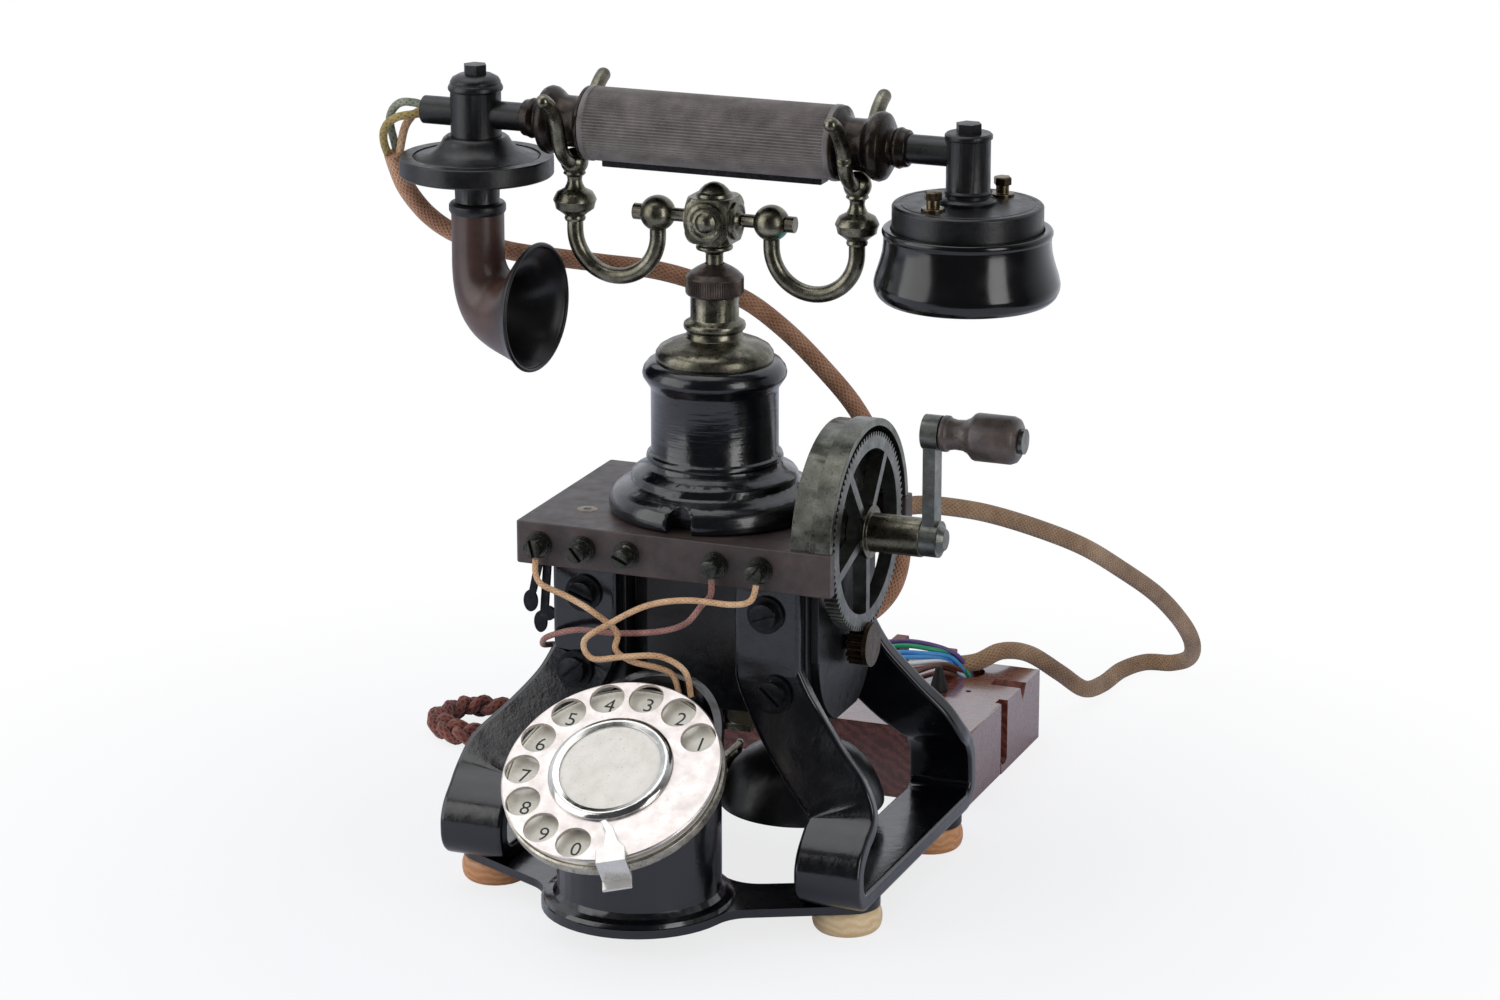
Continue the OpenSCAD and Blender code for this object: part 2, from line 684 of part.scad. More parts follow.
module column_cap() {
  n = cap_neck_d / 2;
  r = column_d / 2 - 1.7;
  color([0.42, 0.42, 0.33]) placed() difference() {
    translate([0, 0, column_top_z]) rotate_extrude() polygon([
      [0, 0], [r, 0], [r + 0.1, 1.2], [r - 0.1, 2.6], [r - 1.2, 4.2], [r - 2.6, 5], [r - 3.2, 5.4],
      [r - 6.2, 6.6], [r - 8.4, 7.2], [n + 2, 7.9], [n + 1.4, 9], [n + 1.2, 10.2], [n + 2.2, 11],
      [n + 2.4, 12], [n + 2.2, 13], [n + 0.9, 13.8], [n, 14.6], [n, cap_h], [0, cap_h]]);
    translate([0, 0, column_top_z - 1]) cylinder(d = stem_d + 2 * run_clear, h = cap_h + 2);
  }
}
module knurled_nut() {
  r = nut_d / 2;
  color([0.33, 0.33, 0.33]) placed() difference() {
    translate([0, 0, cap_top_z]) rotate_extrude() polygon([
      [0, 0], [r - 1.2, 0], [r, 1], [r, nut_h - 4.6], [r - 0.6, nut_h - 4], [r - 1.6, nut_h - 3],
      [r - 3.8, nut_h - 1.4], [r - 6.4, nut_h], [0, nut_h]]);
    translate([0, 0, cap_top_z - 1]) cylinder(d = stem_d + 0.5, h = nut_h + 2);
  }
}
module hook_spring() {
  color([0.5, 0.45, 0.3]) placed() translate([0, 0, board_top_z]) difference() {
    cylinder(d = 11, h = column_h - 22.2);
    translate([0, 0, -1]) cylinder(d = 7.4, h = column_h);
  }
}

// Cradle: plunger, cube, ball joints, arms and forks, which rise together
module cradle_plunger() {
  s = stem_d / 2;
  color([0.42, 0.42, 0.33]) placed() {
    translate([0, 0, board_top_z + column_h - 22]) cylinder(d = 12, h = 2);
    translate([0, 0, board_top_z + column_h - 20])
      cylinder(d = stem_d, h = collar_z - 1 - board_top_z - column_h + 20);
    translate([0, 0, collar_z - 1]) rotate_extrude() polygon([
      [0, 0], [s, 0], [s + 0.9, 1], [s + 3.2, 1.6], [s + 3.4, 2.4], [s + 3.1, 3], [s + 2.6, 3.4],
      [s + 2.9, 4], [s + 3.1, 4.5], [0, 4.5]]);
  }
}
module cradle_block() {
  h = cube_w / 2;
  color([0.42, 0.42, 0.33]) placed() translate([0, 0, ball_z]) {
    intersection() {
      cube(cube_w, center = true);
      sphere(r = h * 1.52);
    }
    for (a = [0:90:270]) rotate([0, 0, a]) rotate([90, 0, 0]) translate([0, 0, h])
      rotate_extrude() polygon([[0, 0], [6.9, 0], [6.6, 1], [5.4, 1.3], [4.6, 0.7], [3.6, 0.9],
        [2.6, 2], [1.2, 2.6], [0, 2.7]]);
    translate([0, 0, h]) rotate_extrude() polygon([[0, 0], [6.2, 0], [6, 1], [5.3, 1.4], [4.8, 2.2],
      [3.4, 3.6], [1.6, 4.5], [0, 4.7]]);
  }
}
module cradle_balls() {
  r = ball_d / 2;
  start = cube_w / 2 + 2.7;
  color([0.42, 0.42, 0.33]) placed() for (side = [0, 180])
    rotate([0, 0, side]) translate([0, 0, ball_z]) {
      rod_x(4.6, start, ball_x - r + 1.5);
      translate([ball_x, 0, 0]) sphere(d = ball_d);
      rod_x(5.6, ball_x + r - 1, ball_x + r + 2.4);
    }
}
module arm() {
  difference() {
    union() {
      translate([ball_x + arm_bend_r, 0, arm_bend_z]) rotate([90, 0, 0]) rotate([0, 0, 180])
        rotate_extrude(angle = 180) translate([arm_bend_r, 0]) circle(d = arm_d);
      translate([ball_x, 0, arm_bend_z]) cylinder(d = arm_d, h = ball_z - arm_bend_z);
      translate([arm_end_x, 0, arm_bend_z]) cylinder(d = arm_d, h = fork_z - arm_bend_z);
    }
    translate([ball_x, 0, ball_z]) sphere(d = ball_d);
  }
}
module cradle_arms() {
  color([0.42, 0.42, 0.33]) placed() for (side = [0, 180]) rotate([0, 0, side]) arm();
}
module fork() {
  k = knob_d / 2;
  saddle_r = neck_d / 2 + cradle_clear + prong_d / 2 + 2;
  curl_r = 20;
  top_a = -12;
  tip_a = 56;
  translate([arm_end_x, 0, fork_z]) rotate_extrude() polygon([
    [0, 0], [3.4, 0], [3.7, 0.8], [3.4, 1.7], [4.4, 2.6], [6.6, 4.2], [k - 0.5, 6], [k, 7.2],
    [k - 0.5, 8.4], [6.2, 9.8], [3.6, 11.2], [2.8, 12.8], [2.5, 14], [2.7, 15.4], [3.9, 16.4],
    [3.6, 17.2], [3, 17.6], [0, 17.6]]);
  translate([arm_end_x, 0, fork_ball_z]) sphere(d = fork_ball_d);
  for (side = [0, 180]) rotate([0, 0, side]) translate([side == 0 ? arm_end_x : -arm_end_x, 0, 0])
    rotate([0, 0, -90]) rotate([90, 0, 0]) translate([0, handset_z, 0]) {
      rotate([0, 0, -90]) rotate_extrude(angle = 90 + top_a)
        translate([saddle_r, 0]) circle(d = prong_d);
      translate([(saddle_r + curl_r) * cos(top_a), (saddle_r + curl_r) * sin(top_a), 0])
        rotate([0, 0, 180 + top_a - tip_a]) {
          rotate_extrude(angle = tip_a) translate([curl_r, 0]) circle(d = prong_d);
          translate([curl_r, 0, 0]) sphere(d = prong_d);
        }
    }
}
module cradle_forks() {
  color([0.42, 0.42, 0.33]) placed() {
    fork();
    mirror([1, 0, 0]) fork();
  }
}

// Handset: everything hangs on one tube along X
module handset_axis() {
  translate([0, 0, handset_z]) children();
}
bar_l = 80;
bar_w = 7;
bar_drop = 1.3;
bar_t = 3.4;
module handset_tube() {
  color([0.1, 0.1, 0.11]) placed() handset_axis() difference() {
    rod_x(rod_d, -mouth_x - 19.5, ear_x - 4.5);
    rod_x(rod_d - 2.4, -mouth_x - 20, ear_x - 5);
  }
}
module handset_grip() {
  r = grip_d / 2;
  slot_h = bar_t + talk_travel - bar_drop + 0.3;
  color([0.34, 0.31, 0.31]) placed() handset_axis() difference() {
    rotate([0, 90, 0]) translate([0, 0, -grip_l / 2]) linear_extrude(grip_l)
      polygon([for (k = [0:2 * flutes - 1])
        (k % 2 == 0 ? r : r - 0.35) * [cos(180 * k / flutes), sin(180 * k / flutes)]]);
    rod_x(rod_d, -grip_l, grip_l);
    translate([-bar_l / 2 - 0.3, -bar_w / 2 - 0.25, -r - 1])
      cube([bar_l + 0.6, bar_w + 0.5, slot_h + 1]);
  }
}
module talk_bar() {
  color([0.12, 0.12, 0.12]) placed() handset_axis()
    translate([0, 0, -grip_d / 2 - bar_drop]) {
      translate([-bar_l / 2, -bar_w / 2, 0]) cube([bar_l, bar_w, bar_t]);
    }
}
module ferrule() {
  n = neck_d / 2;
  difference() {
    turned_x([[0, 0], [0, grip_d / 2 - 0.1], [1.2, grip_d / 2 - 0.3], [1.8, n + 2], [2.8, n + 0.5],
      [4.2, n], [8.4, n], [10, n + 0.4], [11.6, n + 1.8], [13, n + 2.7], [14.6, n + 3],
      [16.2, n + 2.4], [17.4, n + 0.4], [18.2, n - 2.2], [19.4, n - 2.8], [20, n - 2.2],
      [21.4, n - 1.8], [22.4, n - 2.3], [24.2, n - 2.6], [24.6, n - 3.2], [24.6, 0]]);
    rod_x(rod_d, -1, 30);
  }
}
module ferrules() {
  color([0.3, 0.28, 0.26]) placed() handset_axis() {
    translate([grip_l / 2, 0, 0]) ferrule();
    mirror([1, 0, 0]) translate([grip_l / 2, 0, 0]) ferrule();
  }
}
module tee_mouth() {
  color([0.09, 0.09, 0.1]) placed() translate([-mouth_x, 0, handset_z]) {
    difference() {
      translate([0, 0, -7.6]) cylinder(d = 17.6, h = 15.6);
      rod_x(rod_d, -20, 20);
    }
    translate([0, 0, 8]) rotate_extrude() polygon([[0, 0], [9.1, 0], [9.5, 0.6], [9.5, 1.4],
      [9, 2.4], [8.6, 2.7], [8.8, 3.2], [8, 4.6], [6, 5.7], [0, 5.8]]);
    translate([0, 0, 13.8]) cylinder(d = 8.4, h = 3.4, $fn = 6);
  }
}
module transmitter_case() {
  r = transmitter_d / 2;
  t = transmitter_h;
  neck = mouth_neck_z - mic_disc_top_z;
  color([0.13, 0.13, 0.14]) placed() translate([-mouth_x, 0, mic_disc_top_z]) difference() {
    rotate_extrude() polygon([[0, 7], [10.4, 7], [11.4, 6.2], [12.4, 4.4], [13.8, 2.8], [16.2, 1.2],
      [20, 0.1], [21.6, -0.3], [21.6, -0.9], [22.2, -0.9], [22.2, 0], [r - 0.4, 0], [r, -0.4],
      [r, 0.6 - t], [r - 0.6, -t], [11, -t - 0.2], [8.4, -t - 1.4], [7.9, -t - 3],
      [7.7, neck + 2], [9.3, neck + 1.8], [9.9, neck + 1], [9.9, neck - 1], [9.4, neck - 2],
      [0, neck - 2]]);
    translate([0, 0, 1.6 - t]) cylinder(r = 20.4, h = t - 3.6);
    translate([0, 0, neck - 3]) cylinder(d = horn_d - 2 * horn_wall - 3, h = 1 - neck);
  }
}

// Horn: rings of growing radius carried round the elbow, each [out, down, turn, share of flare]
horn_rings = [[0, -2, 0, 0], [0, -15, 0, 0], [0.2, -21, 10, 0.02], [1.5, -26.5, 24, 0.09],
  [4.2, -30.8, 40, 0.21], [8.2, -33.2, 56, 0.37], [12.5, -33.8, 70, 0.53], [16.5, -33.7, 82, 0.68],
  [19.5, -33.6, 88, 0.81], [21.7, -33.5, 90, 0.95], [22.5, -33.5, 90, 1]];
function horn_ring(q, less, sides) =
  let (r = horn_d / 2 + q[3] * (horn_mouth_d - horn_d) / 2 - less)
  [for (k = [0:sides - 1])
    let (a = 360 * k / sides)
    [q[0] + r * cos(a) * cos(q[2]), r * sin(a), q[1] + r * cos(a) * sin(q[2])]];
module horn() {
  sides = 24;
  steps = smooth(horn_rings, 2);
  inner = [for (i = [len(steps) - 1:-1:0]) horn_ring(steps[i], horn_wall, sides)];
  outer = [for (q = steps) horn_ring(q, 0, sides)];
  loops = concat(outer, inner);
  n = len(loops);
  color([0.3, 0.22, 0.19]) placed() translate([-mouth_x, 0, mouth_neck_z])
    rotate([0, 0, -horn_turn]) polyhedron(
      points = [for (r = loops, q = r) q],
      faces = [for (i = [0:n - 1], k = [0:sides - 1], half = [0, 1])
        let (
          a = i * sides + k,
          b = i * sides + (k + 1) % sides,
          c = ((i + 1) % n) * sides + k,
          d = ((i + 1) % n) * sides + (k + 1) % sides)
        half == 0 ? [a, c, b] : [b, c, d]]);
}
module tee_ear() {
  color([0.12, 0.12, 0.13]) placed() translate([ear_x, 0, handset_z]) {
    difference() {
      rotate_extrude() polygon([[0, -16.6], [9.3, -16.6], [9.5, -15.6], [8.8, -14.9], [7.7, -14.4],
        [7.7, -13.4], [8.1, -12.8], [7.4, -12], [7.4, 4.8], [8, 5.2], [8, 6.4], [7.4, 7], [0, 7]]);
      rod_x(rod_d, -12, -4.5);
    }
    translate([0, 0, 7]) cylinder(d = 8.8, h = 3.2, $fn = 6);
  }
}
module receiver_case() {
  r = receiver_d / 2;
  color([0.13, 0.13, 0.14]) placed() translate([ear_x, 0, receiver_top_z]) {
    difference() {
      translate([0, 0, -receiver_h]) cylinder(d = receiver_d, h = receiver_h);
      translate([0, 0, -receiver_h - 1]) cylinder(d = receiver_d - 5, h = receiver_h - 2);
    }
    for (q = [[-7, -15], [7, 15]]) translate([q[0], q[1], 0]) {
      cylinder(d = 8, h = 0.8);
      translate([0, 0, 0.8]) cylinder(d = 4.4, h = 3);
      translate([0, 0, 3.8]) cylinder(d = 6, h = 2.6, $fn = 6);
    }
  }
}
module ear_cap() {
  r = ear_cap_d / 2;
  h = ear_cap_h;
  b = receiver_d / 2 + run_clear;
  seat = h - receiver_h + 8.4;
  color([0.06, 0.06, 0.07]) placed() translate([ear_x, 0, ear_lip_z - h])
    rotate_extrude() polygon([[5.6, seat - 4.6], [6.6, 2.6], [14, 1.4], [21, 0.6], [25, 0], [r - 3, 0.6],
      [r - 1.2, 2.2], [r - 0.2, 4.4], [r, 6.4], [r - 0.6, 9], [r - 2.2, 13], [r - 3.2, 17],
      [r - 3.4, h - 5], [r - 2.8, h - 1.6], [r - 2.4, h - 0.8], [r - 2.6, h], [b, h], [b, seat],
      [b - 4, seat], [b - 4, seat - 2], [5.6, seat - 2]]);
}
module diaphragms() {
  color([0.6, 0.6, 0.62]) placed() {
    translate([-mouth_x, 0, mic_disc_top_z - transmitter_h + 1.6]) cylinder(r = 20.4, h = 0.6);
    translate([ear_x, 0, ear_lip_z - receiver_h + 8.4 - 0.5]) cylinder(d = receiver_d - 8, h = 0.5);
  }
}

// Dial, drawn level with its wheel's upper face at zero, then tilted into place
function hole_angle(i) = 35 + finger_pitch * i;
module dial_frame() {
  translate([dial_x, -dial_y, dial_z]) rotate([dial_tilt, 0, 0]) children();
}
case_top = -4.6;
case_bottom = -8.6;
dial_shaft_d = 6;
module dial_case() {
  r = dial_d / 2;
  color([0.66, 0.64, 0.56]) placed() dial_frame() difference() {
    union() {
      rotate_extrude() polygon([[0, case_bottom], [r - 1.2, case_bottom], [r + 0.1, case_bottom + 0.8],
        [r + 0.3, case_top + 0.4], [r - 0.6, case_top + 0.8], [r - 1, case_top], [0, case_top]]);
      translate([0, 0, case_bottom - 18]) cylinder(d = 27, h = 18.5);
    }
    translate([0, 0, case_top - 3]) cylinder(d = dial_shaft_d + 2 * run_clear, h = 4);
  }
}
module number_plate() {
  color([0.88, 0.87, 0.82]) placed() dial_frame() translate([0, 0, case_top]) difference() {
    cylinder(d = dial_d - 2.2, h = 0.8);
    translate([0, 0, -1]) cylinder(d = dial_shaft_d + 2, h = 3);
  }
}
module finger_wheel() {
  r = dial_d / 2;
  color([0.8, 0.79, 0.75]) placed() dial_frame() {
    difference() {
      rotate_extrude() polygon([[0, -wheel_t], [r - 0.4, -wheel_t], [r, -wheel_t + 0.4], [r, -0.4],
        [r - 0.5, 0], [0, 0]]);
      for (i = [0:9]) rotate([0, 0, hole_angle(i)]) translate([finger_r, 0, -wheel_t - 1])
        cylinder(d = finger_d, h = wheel_t + 2);
    }
    translate([0, 0, case_top - 2.6]) cylinder(d = dial_shaft_d, h = -case_top + 2.6 - wheel_t);
  }
}
module dial_bezel() {
  r = bezel_d / 2;
  c = card_d / 2;
  color([0.8, 0.8, 0.8]) placed() dial_frame() rotate_extrude() polygon([[c, 0], [r, 0],
    [r - 0.2, 0.9], [r - 1.2, 1.8], [r - 2.2, 2.1], [c + 0.8, 1.9], [c - 0.5, 1.5], [c - 0.5, 1.2],
    [c, 1]]);
}
module dial_card() {
  color([0.93, 0.92, 0.88]) placed() dial_frame() cylinder(d = card_d, h = 1);
}
module finger_stop() {
  r = dial_d / 2;
  w = stop_w / 2;
  color([0.78, 0.77, 0.74]) placed() dial_frame() rotate([0, 0, -stop_turn]) {
    translate([0, 0, 1]) linear_extrude(stop_top - 1) polygon([[r + stop_out, -w],
      [r + stop_out, w], [r - 3, w],
      [r - 6, 2.6], [r - 11.5, 1.2], [r - 15.4, -1.4], [r - 15, -3.2], [r - 10.5, -1.6],
      [r - 5, -2.4], [r - 3, -w]]);
    translate([r + 1.4, -w, case_bottom]) cube([1.2, stop_w, 2 - case_bottom]);
    translate([r + 0.35, -w, case_bottom]) cube([1.3, stop_w, 3]);
    translate([r + 2.4, -w, case_bottom]) cube([4, stop_w, 1]);
  }
}

// Dial stand: flange and arms in one plate, with a cup cut on the slant of the dial
module dial_stand() {
  pad_r = foot_d / 2 - 0.6;
  color([0.08, 0.09, 0.1]) placed() {
    difference() {
      union() {
        translate([0, 0, foot_h]) linear_extrude(spacer_t) offset(r = -14, $fn = 48)
          offset(r = 14, $fn = 48) {
            translate([0, -cup_y]) circle(d = stand_flange_d, $fn = 48);
            for (side = [-1, 1]) hull() {
              translate([side * foot_x, -foot_front_y]) circle(r = pad_r, $fn = 32);
              translate([side * 22, -cup_y + 5]) circle(r = 12, $fn = 32);
            }
          }
        translate([0, -cup_y, foot_h]) rotate_extrude() polygon([[0, spacer_t - 1],
          [stand_flange_d / 2 - 0.4, spacer_t - 1], [stand_flange_d / 2 - 1.4, spacer_t + 1.4],
          [cup_d / 2 + 1.4, spacer_t + 2.2], [cup_d / 2, spacer_t + 4], [cup_d / 2, 90], [0, 90]]);
      }
      translate([0, -cup_y, foot_h + 3]) cylinder(d = cup_d - 2 * cup_wall, h = 100);
      dial_frame() translate([-80, -80, case_bottom]) cube([160, 160, 120]);
      translate([0, -cup_y, 38]) rotate([0, 0, -50]) translate([20, -2.2, 0])
        cube([20, 4.4, 2.6]);
    }
  }
}

// Bells: bridge under the pole pieces with gong posts, coils and the clapper
rocker_z = gong_rim_z + gong_h + 2.4;
rocker_pin_d = 2.4;
module ringer_bridge() {
  color([0.3, 0.3, 0.3]) placed() {
    translate([-38, -20, bridge_z]) cube([76, 40, bridge_t]);
    for (side = [-1, 1]) translate([side * gong_x, gong_y, 0]) {
      translate([0, 0, gong_top_z]) cylinder(d = 8, h = bridge_z - gong_top_z);
      translate([0, 0, gong_top_z - 7]) cylinder(d = 4.8, h = 7);
      translate([0, 0, gong_top_z - 7.2]) cylinder(d = 8, h = 2.2);
    }
    difference() {
      for (y = [-4.2, 2.6]) translate([-2.5, gong_y + y, rocker_z - 2.9])
        cube([5, 1.6, bridge_z - rocker_z + 2.9]);
      translate([0, gong_y + 6, rocker_z]) rotate([90, 0, 0])
        cylinder(d = rocker_pin_d + 2 * run_clear, h = 12);
    }
  }
}
module ringer_coils() {
  color([0.35, 0.2, 0.1]) placed() for (side = [-1, 1])
    translate([side * (coil_d / 2 + 3), gong_y, bridge_z - 11.5]) cylinder(d = coil_d, h = 11.5);
}
module gong() {
  r = gong_d / 2;
  h = gong_h;
  w = gong_wall;
  rotate_extrude() polygon([[2.45, h], [6, h - 0.1], [13, h - 1.3], [20, h - 4.8], [r - 4.4, h - 9.6],
    [r - 1.8, h - 15], [r - 0.4, 3], [r, 0.8], [r, 0], [r - w - 0.2, 0], [r - w - 0.6, 3],
    [r - 1.8 - w, h - 15.4], [r - 4.8 - w, h - 10.6], [20 - w, h - 6.2], [13, h - 3.3],
    [6, h - 2.1], [2.45, h - 2]]);
  translate([0, 0, h - 5]) difference() {
    cylinder(d = 11, h = 3);
    translate([0, 0, -1]) cylinder(d = 4.9, h = 5);
  }
}
module gong_left() {
  color([0.16, 0.16, 0.17]) placed() translate([-gong_x, gong_y, gong_rim_z]) gong();
}
module gong_right() {
  color([0.16, 0.16, 0.17]) placed() translate([gong_x, gong_y, gong_rim_z]) gong();
}
clapper_y = gong_y + 18;
module clapper() {
  bend_z = rocker_z - 13.4;
  ball_z = gong_rim_z + 3.5;
  color([0.5, 0.45, 0.3]) placed() {
    translate([-12, gong_y - 2.4, rocker_z - 1.2]) cube([24, 4.8, 2.4]);
    translate([0, gong_y + 4.5, rocker_z]) rotate([90, 0, 0]) cylinder(d = rocker_pin_d, h = 9);
    translate([0, gong_y, bend_z]) cylinder(d = 2.2, h = rocker_z - bend_z);
    translate([0, gong_y, bend_z]) sphere(d = 3);
    translate([0, gong_y, bend_z]) rotate([-90, 0, 0]) cylinder(d = 2.2, h = clapper_y - gong_y);
    translate([0, clapper_y, bend_z]) sphere(d = 3);
    translate([0, clapper_y, ball_z + 2]) cylinder(d = 2.2, h = bend_z - ball_z - 2);
    translate([0, clapper_y, ball_z]) sphere(d = clapper_d);
  }
}

// Contact springs under the left end of the board
spring_t = 1.2;
module contact_springs() {
  color([0.12, 0.12, 0.13]) placed() translate([4.9 - board_w / 2, -pole_half_y - 3, board_z])
    rotate([90, 0, 0]) {
    linear_extrude(spring_t) union() {
      polygon([[0, 0], [3, 0], [0, -12], [-2.8, -13]]);
      translate([-2, -15]) scale([1, 1.5]) circle(r = 2.6, $fn = 24);
    }
    translate([0, 0, -2 * spring_t]) linear_extrude(spring_t) union() {
      polygon([[2, 0], [5, 0], [3.4, -20], [0.4, -21]]);
      translate([0.6, -23]) scale([1, 1.6]) circle(r = 2.4, $fn = 24);
      translate([3.6, -19.6]) circle(r = 2.6, $fn = 24);
    }
  }
}

// Cords: routes in the column's frame, chosen by hand
gland_at = [13, 86];
handset_route = [[-mouth_x - 19.5, 0, handset_z], [-111, 0, handset_z], [-117, 1, 259.5],
  [-121.5, 2, 254.5], [-123, 4, 247], [-122.5, 7, 239], [-120, 10, 230], [-114, 15, 220],
  [-104, 19, 213], [-88, 24, 208], [-70, 28, 206], [-54, 30, 205], [-37, 32, 204], [-22, 34, 201],
  [-5, 38, 195], [9, 41, 185], [22, 44, 172], [33, 49, 157], [41, 53, 140], [46, 57, 122],
  [48, 58, 105], [46, 56, 91], [40, 51, 82], [31, 47, 78], [22, 44, 79], [15, 40, 83],
  [13, 36, 86], [13, pole_half_y + gland_t, 86]];
cord_split = 3;
line_route = [[51, board_rear_y + gland_t, 122], [51, 48, 122], [55, 57, 121], [63, 68, 118],
  [72, 84, 112], [83, 105, 102], [93, 130, 89], [99, 160, 72], [104, 190, 54], [106, 218, 35],
  [105, 238, 20], [100, 252, 9], [91, 259, 3.5], [81, 256, 3.5], [75, 243, 3.5], [73, 224, 3.5],
  [71, 206, 7], [66, 190, 18], [58, 176, 29], [51, 164, 33], [45, 155, 31], [39, 152, 30],
  [36, 152, 30]];
plait_route = [[-24, board_rear_y + gland_t, 122], [-24, 52, 122], [-29, 62, 115], [-38, 68, 98],
  [-50, 72, 72], [-66, 76, 44], [-84, 82, 20], [-104, 94, 7], [-126, 106, 5.2], [-145, 104, 5.2],
  [-150, 88, 5.2], [-138, 76, 5.2], [-118, 76, 5.2], [-100, 88, 8], [-84, 106, 16], [-80, 130, 24],
  [-66, 150, 30], [-46, 160, 32.5], [-24, 156, 32], [0, 150, 31.7], [8, 149, 31.7], [12, 149, 31.7]];
module handset_cord_top() {
  color([0.72, 0.55, 0.42]) placed() tube(handset_route, handset_cord_d, 0, cord_split);
}
module handset_cord() {
  color([0.72, 0.55, 0.42]) placed()
    tube(handset_route, handset_cord_d, cord_split, len(handset_route) - 1);
}
module line_cord() {
  color([0.68, 0.56, 0.44]) placed() tube(line_route, line_cord_d, 0, len(line_route) - 1);
}
module plait_cord() {
  color([0.36, 0.18, 0.15]) placed() tube(plait_route, plait_d, 0, len(plait_route) - 1);
}

// Leads from the front terminals into the cup
lead_routes = [
  [[-48.6, -43.6, 118.2], [-48.4, -44, 113], [-45, -46, 110], [-36, -46, 107], [-26, -47, 103],
    [-17, -47.5, 97], [-17, -48.5, 91], [-11, -48.5, 87.5], [-2, -47.5, 86], [3, -46, 83.5],
    [5, -45.4, 77]],
  [[32.4, -43.6, 118.2], [31, -45, 113], [25, -47, 111.5], [10, -49.5, 112], [-4, -51, 109],
    [-18, -52, 101], [-27, -52, 94], [-24, -52, 88], [-12, -51.5, 90], [0, -50, 91], [8, -47.5, 86],
    [10, -46.8, 77]],
  [[16.2, -43.6, 118.2], [16, -43.8, 113], [12, -43, 108], [6, -42, 101], [-4, -42, 97],
    [-20, -42, 94.5], [-34, -42, 94], [-46, -40, 89.5], [-51, -33, 84], [-50.2, -26, 82]]];
module dial_leads() {
  color([0.8, 0.6, 0.42]) placed() for (route = lead_routes)
    tube(route, lead_d, 0, len(route) - 1);
}

// Connection block: a varnished front half and a plain rear half with a round well
module connection_block() {
  x0 = -50;
  split = block_l * 0.68;
  rear_h = block_h - 1.5;
  line_end = line_route[len(line_route) - 1];
  plait_end = plait_route[len(plait_route) - 1];
  color([0.4, 0.2, 0.15]) placed() {
    translate([x0, block_y, 0]) rotate([90, 0, 90]) linear_extrude(block_w)
      polygon([[0, 0], [split, 0], [split, block_h], [2.4, block_h], [0.7, block_h - 0.7],
        [0, block_h - 2.4]]);
    difference() {
      translate([x0, block_y + split, 0]) cube([block_w, block_l - split, rear_h]);
      translate([x0 + block_w - 25, block_y + split + 14, block_h - 9]) cylinder(d = 14, h = 12);
    }
    translate([line_end[0] - 5, line_end[1] - 4.5, rear_h]) cube([5, 9, 8]);
    translate([plait_end[0], plait_end[1] - 6, rear_h]) cube([5, 12, 11.5]);
  }
}

foot_front_left();
foot_front_right();
feet_rear();
foot_spacers();
dial_stand();
magnet_left();
magnet_right();
magnet_screws();
pole_front();
pole_rear();
cheeks();
board();
terminals();
cord_glands();
column();
column_cap();
knurled_nut();
hook_spring();
contact_springs();
gear_guard();
ringer_bridge();
ringer_coils();
gong_left();
gong_right();
clapper();
armature();
armature_winding();
pinion();
crank_gear();
crank_hub();
crank_arm();
crank_handle();
dial_case();
number_plate();
finger_wheel();
dial_bezel();
dial_card();
finger_stop();
cradle_plunger();
cradle_block();
cradle_balls();
cradle_arms();
cradle_forks();
handset_grip();
ferrules();
handset_tube();
tee_mouth();
transmitter_case();
horn();
tee_ear();
receiver_case();
ear_cap();
talk_bar();
diaphragms();
handset_cord_top();
handset_cord();
line_cord();
plait_cord();
dial_leads();
connection_block();
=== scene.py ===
"""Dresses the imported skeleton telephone: surfaces, finishes, cords, light and camera.

Shapes are in millimetres from the column's axis, with +X to the crank, -Y to the user and +Z up.
Bench.place turns them into the frame's metres.
"""

import dataclasses
import json
import logging
import math
from dataclasses import dataclass, field
from enum import Enum
from typing import Any, Callable, Optional, Sequence

import bmesh
import bpy
import numpy as np
from mathutils import Matrix, Vector
from mathutils.geometry import tessellate_polygon

